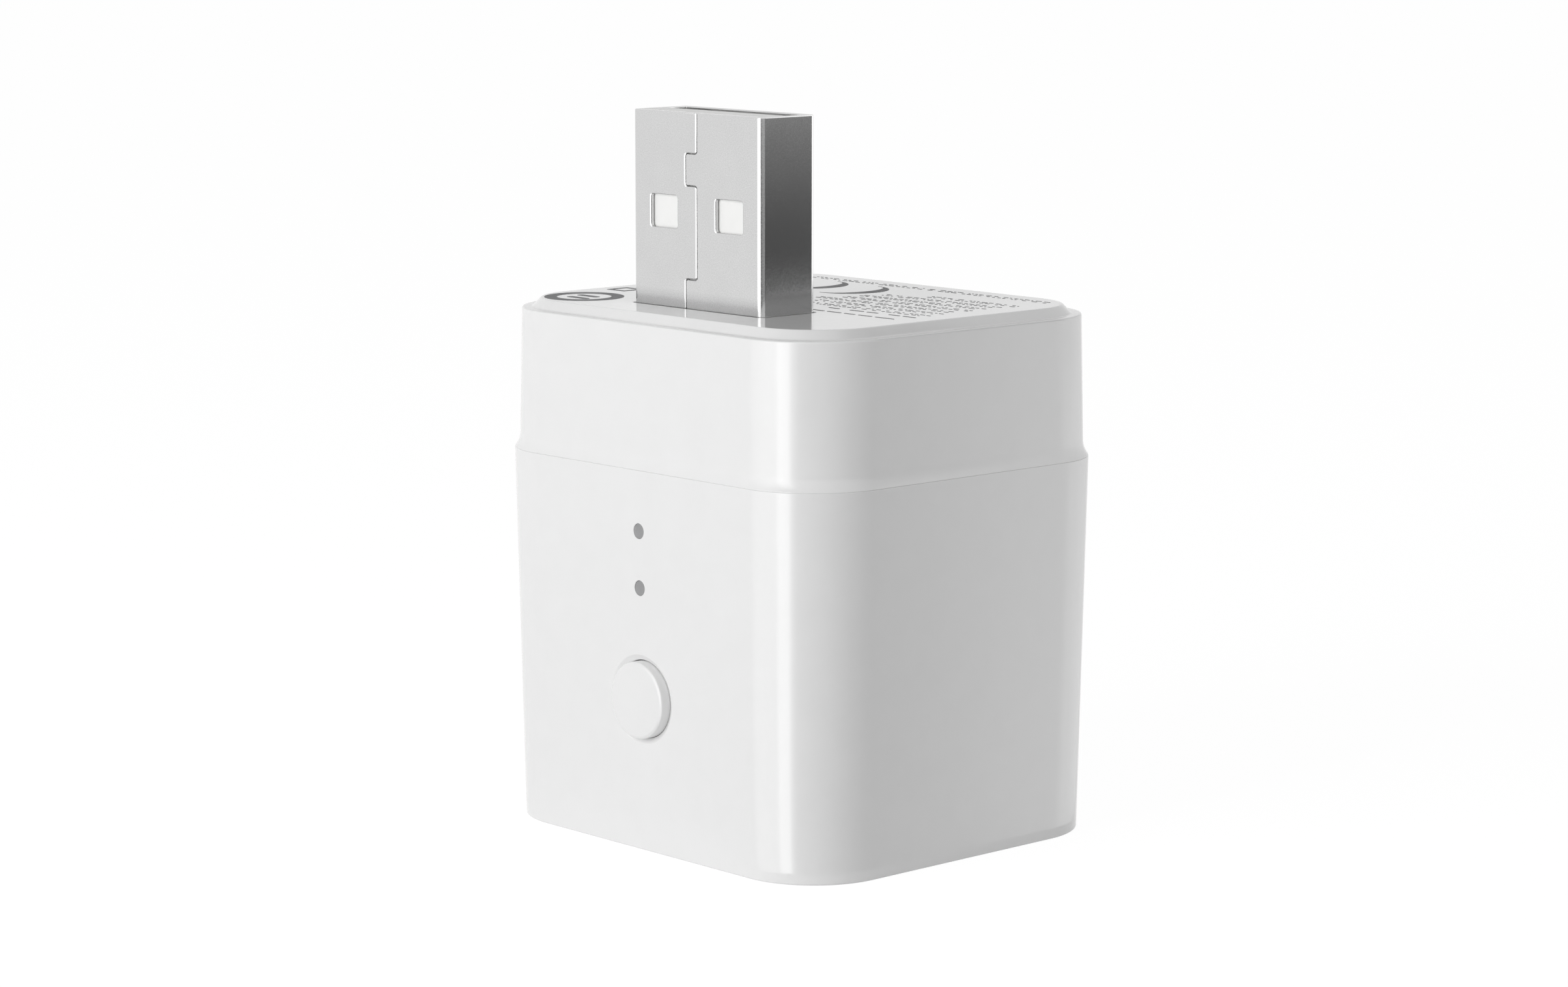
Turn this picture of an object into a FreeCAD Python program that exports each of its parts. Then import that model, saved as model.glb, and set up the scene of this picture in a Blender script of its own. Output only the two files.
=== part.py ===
"""A switch that sits between a USB charger and a USB lead, with a plug on top and a socket below.

Millimetres. The origin is the centre of the bottom face, +Z points up along the plug, and the
face with the button and the two lights looks towards -Y.
"""
import FreeCAD, Part
import math
import os

from FreeCAD import Vector

# Lower housing: a cup that widens from its base to the joint line
seam_width = 31.1
seam_depth = 27.1
seam_corner = 5.5
seam_rise = 9.7
side_lean = 0.45
front_lean = 0.4
base_corner = 5.3
wall = 1.5
floor_thickness = 1.5
base_edge_bevel = 0.2

# Top cover: a swept foot, a near-vertical wall, a ledge and a raised plateau round the plug
flare_inset = 0.25
flare_height = 0.95
flare_sections = 4
rim_inset = 0.35
rim_corner = 5.6
rim_rise = 8.98
rim_edge_bevel = 0.1
ledge_width = 0.65
ledge_step = 0.1
bevel_width = 0.55
bevel_height = 0.48
cover_wall = 1.5
roof_thickness = 1.5

# Snap joint between cover and housing
skirt_depth = 2.0
skirt_thickness = 0.9
skirt_root = 1.6
skirt_clearance = 0.1
bead_length = 6.0
bead_reach = 0.35
bead_height = 0.7
bead_drop = 0.9
recess_clearance = 0.12

# Plug: standard outline of sheet steel round a moulded insulator
plug_width = 12.0
plug_thickness = 4.5
plug_length = 18.75
plug_reach = 12.15
plug_corner = 0.39
plug_centre_y = -6.435
sheet = 0.3
insulator_thickness = 1.95
insulator_clearance = 0.03
slot_clearance = 0.25
window_width = 2.5
window_height = 2.05
window_offset = 3.03
window_drop = 6.22
window_corner = 0.2
seam_gap = 0.06
seam_shift = 1.04
seam_steps = (2.5, 4.56, 10.3)
seam_bend = 0.2
seam_line_x = 0.025
plug_block_length = 6.2
plug_block_inset = 0.6

# Contacts: four strips in both connectors
power_pitch = 3.5
data_pitch = 1.0
contact_width = 1.0
contact_thickness = 0.25
groove_side_gap = 0.05
contact_sink = 0.04
power_contact_drop = 1.3
data_contact_drop = 2.3
contact_foot = 1.2
contact_turn_gap = 0.3
contact_bump = 0.4
contact_bump_length = 2.4

# Socket: standard opening of sheet steel round a tongue
socket_opening_width = 12.5
socket_opening_depth = 5.12
socket_corner = 0.6
socket_length = 14.0
socket_recess = 0.3
socket_clearance = 0.2
socket_collar = 0.8
socket_collar_height = 2.0
socket_lead_in = 0.3
tongue_width = 11.1
tongue_thickness = 1.84
tongue_offset = 0.05
tongue_recess = 1.2
tongue_bevel = 0.3
socket_groove_start = 1.2
socket_block_length = 4.4
socket_block_inset = 0.3
spring_width = 1.6
spring_length = 5.0
spring_lean = 0.35
spring_curl = 0.8
spring_slit = 0.3
spring_offset = 3.1
spring_height = 3.2

# Legs of both connectors, which stand in slots of the board
leg_height = 2.0
leg_clearance = 0.1
plug_leg_rise = 1.2
socket_leg_rise = 5.0
leg_end_gap = 0.2

# Circuit board
board_thickness = 1.2
board_side_clearance = 0.55
board_top_clearance = 0.4
board_corner = 0.6
rail_grip = 0.8
rail_clearance = 0.1
rail_thickness = 1.0
rail_height = 13.5
clip_offset = 9.2
clip_width = 2.0
clip_grip = 0.9

# Button and the tactile switch behind it
button_z = 9.62
button_radius = 2.42
button_edge_round = 0.2
edge_chords = 3
button_protrusion = 0.5
button_gap = 0.05
button_dish_radius = 2.82
button_dish_depth = 0.24
button_flange_radius = 3.1
button_flange_thickness = 0.7
button_flange_gap = 0.15
button_stem_radius = 1.4
button_travel = 0.25
switch_side = 6.0
switch_height = 3.5
switch_frame_thickness = 0.3
switch_corner = 0.4
plunger_radius = 1.75
plunger_length = 1.5
plunger_depth = 0.6
plunger_gap = 0.06
post_side = 0.7
post_gap = 0.03
post_offset = 2.3
terminal_width = 0.7
terminal_thickness = 0.2
terminal_offset = 2.25
terminal_foot = 1.2
terminal_rise = 1.2

# Lights: two lamps on the board, each with a clear rod to the front wall
light_drops = {"lower": 7.36, "upper": 3.79}
light_hole_radius = 0.48
light_tip_gap = 0.02
light_tip_recess = 0.09
light_tip_dome = 0.08
rod_radius = 0.9
rod_gap = 0.03
rod_lamp_gap = 0.2
rod_holder_side = 3.0
rod_holder_corner = 1.2
rod_holder_length = 2.6
lamp_length = 1.6
lamp_width = 0.8
lamp_base = 0.25
lamp_height = 0.6
lamp_lens_length = 1.1

# Radio board on the rear of the circuit board
radio_width = 11.6
radio_length = 13.3
radio_thickness = 0.8
radio_x = -5.5
radio_gap = 0.2
radio_pad_width = 0.7
radio_pad_cut = 0.3
radio_pad_pitch = 2.0
radio_pads = 5
radio_pad_start = 2.0
can_width = 9.8
can_length = 9.4
can_height = 1.8
can_sheet = 0.2
can_corner = 0.5
can_bevel = 0.2
can_margin = 0.6
chip_side = 5.0
chip_height = 0.85
antenna_turns = 4
antenna_track = 0.5
antenna_height = 0.1
antenna_gap = 0.4
antenna_pitch = 2.0
antenna_margin = 0.3

# Packages on the circuit board: each has its centre, those on the rear by a rise above the contact feet
power_switch_x = 3.7
power_switch_rise = 3.55
power_switch_width = 3.9
power_switch_length = 4.9
power_switch_height = 1.5
power_switch_lead_pitch = 1.27
power_switch_lead_width = 0.42
power_switch_pins = 4
regulator_x = 6.4
regulator_rise = 10.85
regulator_width = 6.5
regulator_length = 3.5
regulator_height = 1.6
regulator_lead_pitch = 2.3
regulator_lead_width = 0.7
regulator_tab_width = 3.0
lead_reach = 1.05
lead_thickness = 0.2
lead_level = 0.7
package_lift = 0.1
package_draft = 0.12
capacitor_x = 9.3
capacitor_rise = 3.35
capacitor_radius = 2.0
capacitor_height = 5.4
capacitor_groove = 0.15
capacitor_groove_height = 0.6
capacitor_base_side = 4.3
capacitor_base_height = 0.9
capacitor_base_corner = 0.8
fuse_x = 8.2
fuse_z = 20.0
fuse_size = (3.2, 0.8, 4.5)
chip_capacitor_x = -8.0
chip_capacitor_z = 20.0
chip_capacitor_size = (1.6, 1.6, 3.2)
resistor_x = 3.2
resistor_size = (1.6, 0.45, 0.8)
chip_edge_bevel = 0.12

UP = Vector(0, 0, 1)
BACK = Vector(0, 1, 0)
QUARTER = math.pi / 2
overcut = 0.5
tolerance = 1e-6

socket_top = socket_recess + socket_length
seam_height = socket_top + seam_rise
light_heights = {name: seam_height - drop for name, drop in light_drops.items()}
base_width = seam_width - 2 * side_lean
base_depth = seam_depth - 2 * front_lean
rim_width = seam_width - 2 * rim_inset
rim_depth = seam_depth - 2 * rim_inset
rim_height = seam_height + rim_rise
plateau_height = rim_height + ledge_step + bevel_height
plateau_inset = ledge_width + bevel_width
foot_width = seam_width - 2 * flare_inset
foot_depth = seam_depth - 2 * flare_inset
mouth_width = seam_width - 2 * wall
mouth_depth = seam_depth - 2 * wall
mouth_corner = seam_corner - wall
skirt_width = mouth_width - 2 * skirt_clearance
skirt_reach = mouth_depth - 2 * skirt_clearance
skirt_corner = mouth_corner - skirt_clearance
bead_z = seam_height - bead_drop

plug_tip = plateau_height + plug_reach
plug_base = plug_tip - plug_length
plug_front_y = plug_centre_y - plug_thickness / 2
plug_rear_y = plug_centre_y + plug_thickness / 2
plug_tongue_y = plug_front_y + sheet + insulator_thickness
plug_bed_y = plug_tongue_y - contact_thickness - contact_sink

board_front_y = plug_rear_y
board_rear_y = board_front_y + board_thickness
board_width = skirt_width - 2 * skirt_thickness - 2 * board_side_clearance
board_bottom = floor_thickness
ceiling = plateau_height - roof_thickness
board_top = ceiling - board_top_clearance

socket_width = socket_opening_width + 2 * sheet
socket_depth = socket_opening_depth + 2 * sheet
socket_centre_y = board_rear_y + socket_depth / 2
tongue_face_y = socket_centre_y + tongue_offset
tongue_tip = socket_recess + tongue_recess
socket_bed_y = tongue_face_y + contact_thickness + contact_sink
socket_turn_z = socket_top + contact_turn_gap + contact_thickness
socket_foot_tip = socket_turn_z + contact_foot
radio_z = socket_foot_tip + radio_gap
antenna_length = radio_length - can_margin - can_length - antenna_gap - antenna_margin
power_switch_z = socket_foot_tip + power_switch_rise
regulator_z = socket_foot_tip + regulator_rise
capacitor_z = socket_foot_tip + capacitor_rise

contact_sites = {
    "power": -power_pitch,
    "data_minus": -data_pitch,
    "data_plus": data_pitch,
    "ground": power_pitch,
}


def front_wall_y(z):
    """Where the leaning front wall of the housing is at height z."""
    return -(base_depth / 2 + front_lean * z / seam_height)


button_wall_y = front_wall_y(button_z)
switch_front_y = board_front_y - switch_height
plunger_tip_y = switch_front_y - plunger_length


# Shared shapes


def rounded_outline(width, depth, corner, z, centre_y=0.0, centre_x=0.0):
    """A level rectangle with round corners."""
    reach_x = width / 2 - corner
    reach_y = depth / 2 - corner
    corners = ((reach_x, reach_y), (-reach_x, reach_y), (-reach_x, -reach_y), (reach_x, -reach_y))
    arcs = []
    for number, (x, y) in enumerate(corners):
        circle = Part.Circle(Vector(centre_x + x, centre_y + y, z), UP, corner)
        arcs.append(Part.ArcOfCircle(circle, number * QUARTER, (number + 1) * QUARTER))
    edges = []
    for arc, following in zip(arcs, arcs[1:] + arcs[:1]):
        edges.append(arc.toShape())
        edges.append(Part.makeLine(arc.EndPoint, following.StartPoint))
    return Part.Wire(edges)


def rounded_block(width, depth, corner, low, high, centre_y=0.0, centre_x=0.0):
    """An upright block with a round-cornered outline between two heights."""
    outline = rounded_outline(width, depth, corner, low, centre_y, centre_x)
    return Part.Face(outline).extrude(Vector(0, 0, high - low))


def block(x_range, y_range, z_range):
    """A plain block between pairs of limits."""
    corner = Vector(x_range[0], y_range[0], z_range[0])
    size = [span[1] - span[0] for span in (x_range, y_range, z_range)]
    return Part.makeBox(*size, corner)


def centred(middle, size):
    """The limits of a span of the given size about its middle."""
    return (middle - size / 2, middle + size / 2)


def mirrored(offset):
    """The two places at equal distances either side of the middle."""
    return (-offset, offset)


def rod_on_y(radius, front, rear, x, z):
    """A round rod along Y."""
    return Part.makeCylinder(radius, rear - front, Vector(x, front, z), BACK)


def turned_on_y(profile, x, z):
    """A solid turned about a line along Y from (radius, y) points."""
    points = [Vector(x + radius, y, z) for radius, y in profile]
    face = Part.Face(Part.makePolygon(points + points[:1]))
    return face.revolve(Vector(x, 0, z), BACK, 360)


def edges_along_y(solid):
    """The straight edges of a solid that run from front to back."""
    depth = solid.BoundBox.YLength
    return [edge for edge in solid.Edges if abs(edge.BoundBox.YLength - depth) < tolerance]


def edges_at_rear(solid):
    """The edges round the rear face of a solid."""
    rear = solid.BoundBox.YMax
    return [edge for edge in solid.Edges if abs(edge.BoundBox.YMin - rear) < tolerance]


def strip_section(path, thickness):
    """The outline of sheet that lies to the left of a path in a plane, with mitred bends."""
    normals = []
    for (first, second), (next_first, next_second) in zip(path, path[1:]):
        length = math.hypot(next_first - first, next_second - second)
        normals.append(((second - next_second) / length, (next_first - first) / length))
    far_side = []
    for number, (first, second) in enumerate(path):
        before = normals[max(number - 1, 0)]
        after = normals[min(number, len(normals) - 1)]
        share = thickness / (1 + before[0] * after[0] + before[1] * after[1])
        far_side.append((first + share * (before[0] + after[0]), second + share * (before[1] + after[1])))
    return list(path) + far_side[::-1]


def side_prism(section, width, x):
    """A solid drawn from the side by (y, z) points and as wide as given about x."""
    points = [Vector(x - width / 2, y, z) for y, z in section]
    return Part.Face(Part.makePolygon(points + points[:1])).extrude(Vector(width, 0, 0))


def plan_prism(section, height, z):
    """A solid drawn from above by (x, y) points and as tall as given about z."""
    points = [Vector(x, y, z - height / 2) for x, y in section]
    return Part.Face(Part.makePolygon(points + points[:1])).extrude(Vector(0, 0, height))


# Housing and cover


def housing_outline(z, inset=0.0):
    """The outline of the leaning housing at height z, drawn in by an inset."""
    share = z / seam_height
    width = base_width + (seam_width - base_width) * share
    depth = base_depth + (seam_depth - base_depth) * share
    corner = base_corner + (seam_corner - base_corner) * share
    return rounded_outline(width - 2 * inset, depth - 2 * inset, corner - inset, z)


def snap_ridge(length, reach, height, face_distance, angle):
    """A wedge along one wall, at the height of the snap joint, that points outwards."""
    half = height / 2
    profile = [
        Vector(face_distance - overcut, -length / 2, bead_z - half),
        Vector(face_distance, -length / 2, bead_z - half),
        Vector(face_distance + reach, -length / 2, bead_z),
        Vector(face_distance, -length / 2, bead_z + half),
        Vector(face_distance - overcut, -length / 2, bead_z + half),
    ]
    ridge = Part.Face(Part.makePolygon(profile + profile[:1])).extrude(Vector(0, length, 0))
    ridge.rotate(Vector(0, 0, 0), UP, angle)
    return ridge


def snap_ring(grow, reach):
    """The four wedges of the snap joint, one in the middle of each wall."""
    faces = {0: skirt_width / 2, 90: skirt_reach / 2, 180: skirt_width / 2, 270: skirt_reach / 2}
    ridges = []
    for angle, distance in faces.items():
        ridges.append(snap_ridge(bead_length + 2 * grow, reach, bead_height + 2 * grow, distance, angle))
    return ridges


def board_rails():
    """Two upright channels that hold the edges of the board."""
    rails = []
    slot = board_thickness + 2 * rail_clearance
    middle = (board_front_y + board_rear_y) / 2
    inner = board_width / 2 - rail_grip
    outer = base_width / 2
    for side in (-1, 1):
        channel = block(sorted((side * inner, side * outer)),
                        centred(middle, slot + 2 * rail_thickness),
                        (floor_thickness - overcut, floor_thickness + rail_height))
        bottom = board_width / 2 + rail_clearance
        groove = block(sorted((side * (inner - overcut), side * bottom)),
                       centred(middle, slot),
                       (floor_thickness, floor_thickness + rail_height + overcut))
        rails.append(channel.cut(groove))
    return rails


def socket_collar_wall():
    """A low wall round three sides of the socket where it leaves the floor."""
    width = socket_width + 2 * socket_clearance
    depth = socket_depth + 2 * socket_clearance
    top = floor_thickness + socket_collar_height
    collar = rounded_block(width + 2 * socket_collar, depth + 2 * socket_collar,
                           socket_corner + socket_collar, floor_thickness - overcut, top, socket_centre_y)
    front = block(centred(0, base_width), (-base_depth / 2, board_rear_y + rail_clearance),
                  (floor_thickness, top + overcut))
    return collar.cut(front)


def socket_hole():
    """The way out of the socket through the floor, wider at the outer face."""
    width = socket_width + 2 * socket_clearance
    depth = socket_depth + 2 * socket_clearance
    corner = socket_corner + socket_clearance
    through = rounded_block(width, depth, corner, -overcut, floor_thickness + socket_collar_height + overcut,
                            socket_centre_y)
    wide = rounded_outline(width + 2 * socket_lead_in, depth + 2 * socket_lead_in,
                           corner + socket_lead_in, 0, socket_centre_y)
    narrow = rounded_outline(width, depth, corner, socket_lead_in, socket_centre_y)
    return through.fuse(Part.makeLoft([wide, narrow], True, True))


def rod_holder():
    """A block on the inside of the front wall with a bore for each light rod."""
    heights = light_heights.values()
    outer = min(front_wall_y(0), front_wall_y(seam_height)) + wall / 2
    inner = front_wall_y(min(heights)) + wall + rod_holder_length
    middle = (min(heights) + max(heights)) / 2
    length = max(heights) - min(heights) + rod_holder_side
    holder = rounded_block(rod_holder_side, length, rod_holder_corner, 0, inner - outer)
    holder.rotate(Vector(0, 0, 0), Vector(1, 0, 0), -90)
    holder.translate(Vector(0, outer, middle))
    return holder


def light_holes():
    """A small hole through the front wall and a wider bore behind it for each light."""
    holes = []
    for z in light_heights.values():
        seat = front_wall_y(z) + wall
        inner = seat + rod_holder_length + overcut
        holes.append(rod_on_y(light_hole_radius, front_wall_y(z) - overcut, seat + overcut, 0, z))
        holes.append(rod_on_y(rod_radius + rod_gap, seat, inner, 0, z))
    return holes


def button_hole():
    """The round hole of the button with a sloped dish at its outer edge."""
    radius = button_radius + button_gap
    outside = button_wall_y - overcut
    slope = (button_dish_radius - radius) / button_dish_depth
    profile = [
        (0, outside),
        (button_dish_radius + slope * overcut, outside),
        (radius, button_wall_y + button_dish_depth),
        (radius, button_wall_y + wall + overcut),
        (0, button_wall_y + wall + overcut),
    ]
    return turned_on_y(profile, 0, button_z)


def lower_housing():
    """The cup with its board rails, rod holder and openings."""
    outlines = [housing_outline(0, base_edge_bevel), housing_outline(base_edge_bevel),
                housing_outline(seam_height)]
    outside = Part.makeLoft(outlines, True, True)
    cavity = Part.makeLoft([housing_outline(floor_thickness, wall), housing_outline(seam_height, wall)],
                           True, True)
    body = outside.cut(cavity)
    additions = board_rails() + [rod_holder(), socket_collar_wall()]
    body = body.fuse([addition.common(outside) for addition in additions])
    cuts = light_holes() + [button_hole(), socket_hole()]
    cuts += snap_ring(recess_clearance, bead_reach + recess_clearance)
    return body.cut(cuts).removeSplitter()


def flare():
    """The swept foot of the cover, which curves out to the joint line."""
    radius = (flare_inset ** 2 + flare_height ** 2) / (2 * flare_inset)
    outlines = []
    for number in range(flare_sections + 1):
        rise = flare_height * number / flare_sections
        inset = flare_inset - radius + math.sqrt(radius ** 2 - (flare_height - rise) ** 2)
        outlines.append(rounded_outline(seam_width - 2 * inset, seam_depth - 2 * inset, seam_corner,
                                        seam_height + rise))
    return Part.makeLoft(outlines, True, True)


def cover_outside():
    """The outer form of the cover: foot, wall, ledge, bevel and plateau."""
    foot = rounded_outline(foot_width, foot_depth, seam_corner, seam_height + flare_height)
    wall_top = rounded_outline(rim_width, rim_depth, rim_corner, rim_height - rim_edge_bevel)
    rim = rounded_outline(rim_width - 2 * rim_edge_bevel, rim_depth - 2 * rim_edge_bevel,
                          rim_corner - rim_edge_bevel, rim_height)
    shell = Part.makeLoft([foot, wall_top, rim], True, True)
    step = rounded_block(rim_width - 2 * ledge_width, rim_depth - 2 * ledge_width,
                         rim_corner - ledge_width, rim_height - overcut, rim_height + ledge_step)
    lower = rounded_outline(rim_width - 2 * ledge_width, rim_depth - 2 * ledge_width,
                            rim_corner - ledge_width, rim_height + ledge_step)
    upper = rounded_outline(rim_width - 2 * plateau_inset, rim_depth - 2 * plateau_inset,
                            rim_corner - plateau_inset, plateau_height)
    bevel = Part.makeLoft([lower, upper], True, True)
    return shell.fuse([flare(), step, bevel]).removeSplitter()


def cover_inside():
    """The hollow of the cover above the skirt."""
    start = seam_height + skirt_root
    foot = rounded_outline(foot_width - 2 * cover_wall, foot_depth - 2 * cover_wall,
                           seam_corner - cover_wall, start)
    roof = rounded_outline(rim_width - 2 * cover_wall, rim_depth - 2 * cover_wall,
                           rim_corner - cover_wall, ceiling)
    return Part.makeLoft([foot, roof], True, True)


def board_clips():
    """Two forked pads under the roof that hold the top edge of the board."""
    clips = []
    slot = board_thickness + 2 * rail_clearance
    middle = (board_front_y + board_rear_y) / 2
    low = board_top - clip_grip
    for x in mirrored(clip_offset):
        pad = block(centred(x, clip_width), centred(middle, slot + 2 * rail_thickness),
                    (low, ceiling + overcut))
        notch = block(centred(x, clip_width + 2 * overcut), centred(middle, slot),
                      (low - overcut, board_top + rail_clearance))
        clips.append(pad.cut(notch))
    return clips


def top_cover():
    """The cover with its skirt, snap beads, board clips and the slot of the plug."""
    skirt = rounded_block(skirt_width, skirt_reach, skirt_corner, seam_height - skirt_depth,
                          seam_height + skirt_root)
    hollow = rounded_block(skirt_width - 2 * skirt_thickness, skirt_reach - 2 * skirt_thickness,
                           skirt_corner - skirt_thickness, seam_height - skirt_depth - overcut,
                           seam_height + skirt_root + overcut)
    body = cover_outside().fuse([skirt] + snap_ring(0, bead_reach))
    body = body.cut([hollow, cover_inside()])
    body = body.fuse(board_clips())
    slot = rounded_block(plug_width + 2 * slot_clearance, plug_thickness + 2 * slot_clearance,
                         plug_corner + slot_clearance, ceiling - overcut, plateau_height + overcut,
                         plug_centre_y)
    return body.cut(slot).removeSplitter()


# Plug


def dovetail_slit():
    """The thin stepped gap where the two ends of the folded sheet meet."""
    near = seam_line_x
    far = seam_line_x - seam_shift
    levels = [plug_tip - step for step in seam_steps]
    points = [(near, plug_tip + overcut), (near, levels[0]), (far, levels[0]), (far, levels[1]),
              (near, levels[1]), (near, levels[2]), (far, levels[2]), (far, plug_base - overcut)]
    path = [Vector(x, plug_front_y - overcut, z) for x, z in points]
    edges = []
    start = path[0]
    for number in range(1, len(path) - 1):
        corner = path[number]
        into = (corner - path[number - 1]).normalize()
        out = (path[number + 1] - corner).normalize()
        arc_start = corner - into * seam_bend
        arc_end = corner + out * seam_bend
        arc_middle = corner + (out - into) * (seam_bend * (1 - math.sqrt(0.5)))
        edges.append(Part.makeLine(start, arc_start))
        edges.append(Part.Arc(arc_start, arc_middle, arc_end).toShape())
        start = arc_end
    edges.append(Part.makeLine(start, path[-1]))
    ribbon = Part.Wire(edges).makeOffset2D(seam_gap, 0, True, True)
    return ribbon.extrude(Vector(0, overcut + sheet + insulator_clearance, 0))


def plug_windows():
    """Two windows right through the front and rear of the plug's sheet."""
    windows = []
    for x in mirrored(window_offset):
        window = block(centred(x, window_width), (plug_front_y - overcut, plug_rear_y + overcut),
                       centred(plug_tip - window_drop, window_height))
        windows.append(window.makeFillet(window_corner, edges_along_y(window)))
    return windows


def shell_legs(half_width, low, root_y, tip_y):
    """Two flat legs that go on from the sides of a sheet shell into the board."""
    legs = []
    for side in (-1, 1):
        x_range = sorted((side * half_width, side * (half_width - sheet)))
        legs.append(block(x_range, sorted((root_y, tip_y)), (low, low + leg_height)))
    return legs


def plug_shell():
    """The folded steel sleeve of the plug."""
    sleeve = rounded_block(plug_width, plug_thickness, plug_corner, plug_base, plug_tip, plug_centre_y)
    bore = rounded_block(plug_width - 2 * sheet, plug_thickness - 2 * sheet, plug_corner - sheet,
                         plug_base - overcut, plug_tip + overcut, plug_centre_y)
    legs = shell_legs(plug_width / 2, plug_base + plug_leg_rise, plug_centre_y,
                      board_rear_y - leg_end_gap)
    return sleeve.cut([bore, dovetail_slit()] + plug_windows()).fuse(legs).removeSplitter()


def contact_drop(name):
    """How far a contact starts below the mouth: power and ground meet first."""
    return power_contact_drop if name in ("power", "ground") else data_contact_drop


def plug_insulator():
    """The moulded core of the plug: a slab behind the windows and a block at its root."""
    width = plug_width - 2 * sheet - 2 * insulator_clearance
    depth = plug_thickness - 2 * sheet - 2 * insulator_clearance
    corner = plug_corner - sheet - insulator_clearance
    low = plug_base + plug_block_inset
    body = rounded_block(width, depth, corner, low, plug_tip, plug_centre_y)
    opening = block(centred(0, plug_width), (plug_tongue_y, plug_rear_y),
                    (low + plug_block_length, plug_tip + overcut))
    grooves = []
    for name, x in contact_sites.items():
        grooves.append(block(centred(x, contact_width + 2 * groove_side_gap), (plug_bed_y, plug_tongue_y),
                             (low - overcut, plug_tip - contact_drop(name))))
    return body.cut([opening] + grooves)


def plug_contact(name):
    """One contact of the plug, from its face down to its foot on the board."""
    turn_z = plug_base - contact_turn_gap - contact_thickness
    foot_y = board_front_y - contact_thickness
    path = [(plug_bed_y, plug_tip - contact_drop(name)), (plug_bed_y, turn_z), (foot_y, turn_z),
            (foot_y, turn_z - contact_foot)]
    return side_prism(strip_section(path, contact_thickness), contact_width, contact_sites[name])


# Socket


def socket_springs():
    """Leaf springs for the four faces as (slot, leaf) pairs, the leaf leaning inwards."""
    low = socket_recess + spring_height
    high = low + spring_length
    outer = socket_depth / 2
    places = [(side * spring_offset, turn, outer) for side in (-1, 1) for turn in (0, 180)]
    places += [(0.0, turn, socket_width / 2) for turn in (90, 270)]
    pairs = []
    for x, turn, distance in places:
        slot = block(centred(x, spring_width + 2 * spring_slit),
                     (distance - sheet - overcut, distance + overcut), (low, high + spring_slit))
        path = [(distance, low - sheet), (distance, low), (distance - spring_lean, high - spring_curl),
                (distance - spring_lean / 2, high)]
        leaf = side_prism(strip_section(path, sheet), spring_width, x)
        for piece in (slot, leaf):
            piece.rotate(Vector(0, 0, 0), UP, turn)
            piece.translate(Vector(0, socket_centre_y, 0))
        pairs.append((slot, leaf))
    return pairs


def socket_shell():
    """The folded steel sleeve of the socket with its leaf springs and legs."""
    sleeve = rounded_block(socket_width, socket_depth, socket_corner, socket_recess, socket_top,
                           socket_centre_y)
    bore = rounded_block(socket_opening_width, socket_opening_depth, socket_corner - sheet,
                         socket_recess - overcut, socket_top + overcut, socket_centre_y)
    pairs = socket_springs()
    body = sleeve.cut([bore] + [slot for slot, leaf in pairs])
    legs = shell_legs(socket_width / 2, socket_recess + socket_leg_rise, socket_centre_y,
                      board_front_y - leg_end_gap)
    return body.fuse([leaf for slot, leaf in pairs] + legs).removeSplitter()


def socket_insulator():
    """The moulded core of the socket: a tongue with a block at its root."""
    width = socket_opening_width - 2 * insulator_clearance
    depth = socket_opening_depth - 2 * insulator_clearance
    high = socket_top - socket_block_inset
    low = high - socket_block_length
    root = rounded_block(width, depth, socket_corner - sheet, low, high, socket_centre_y)
    rear = tongue_face_y + tongue_thickness
    section = [
        (tongue_face_y, low + overcut),
        (tongue_face_y, tongue_tip + tongue_bevel),
        (tongue_face_y + tongue_bevel, tongue_tip),
        (rear - tongue_bevel, tongue_tip),
        (rear, tongue_tip + tongue_bevel),
        (rear, low + overcut),
    ]
    tongue = side_prism(section, tongue_width, 0)
    grooves = []
    for x in contact_sites.values():
        grooves.append(block(centred(x, contact_width + 2 * groove_side_gap), (tongue_face_y, socket_bed_y),
                             (tongue_tip + socket_groove_start, high + overcut)))
    return root.fuse(tongue).cut(grooves)


def socket_contact(name):
    """One contact of the socket, with its raised spot, up to its foot on the board."""
    tip = tongue_tip + socket_groove_start + groove_side_gap
    foot_y = board_rear_y + contact_thickness
    middle = tip + contact_bump_length
    path = [(socket_bed_y, tip), (socket_bed_y - contact_bump, middle),
            (socket_bed_y, middle + contact_bump_length), (socket_bed_y, socket_turn_z),
            (foot_y, socket_turn_z), (foot_y, socket_foot_tip)]
    return side_prism(strip_section(path, contact_thickness), contact_width, contact_sites[name])


# Button and switch


def button_cap():
    """The round cap with its retaining flange and the stem that meets the switch."""
    front = button_wall_y - button_protrusion
    flange_front = button_wall_y + wall + button_flange_gap
    flange_rear = flange_front + button_flange_thickness
    profile = [(0, front)]
    for number in range(edge_chords + 1):
        angle = QUARTER * number / edge_chords
        profile.append((button_radius - button_edge_round * (1 - math.sin(angle)),
                        front + button_edge_round * (1 - math.cos(angle))))
    profile += [
        (button_radius, flange_front),
        (button_flange_radius, flange_front),
        (button_flange_radius, flange_rear),
        (button_stem_radius, flange_rear),
        (button_stem_radius, plunger_tip_y),
        (0, plunger_tip_y),
    ]
    return turned_on_y(profile, 0, button_z)


def switch_plunger():
    """The round plunger of the tactile switch."""
    return rod_on_y(plunger_radius, plunger_tip_y, switch_front_y + plunger_depth, 0, button_z)


def switch_outline(front, rear):
    """The square outline of the switch with eased corners."""
    body = block(centred(0, switch_side), (front, rear), centred(button_z, switch_side))
    return body.makeChamfer(switch_corner, edges_along_y(body))


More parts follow.
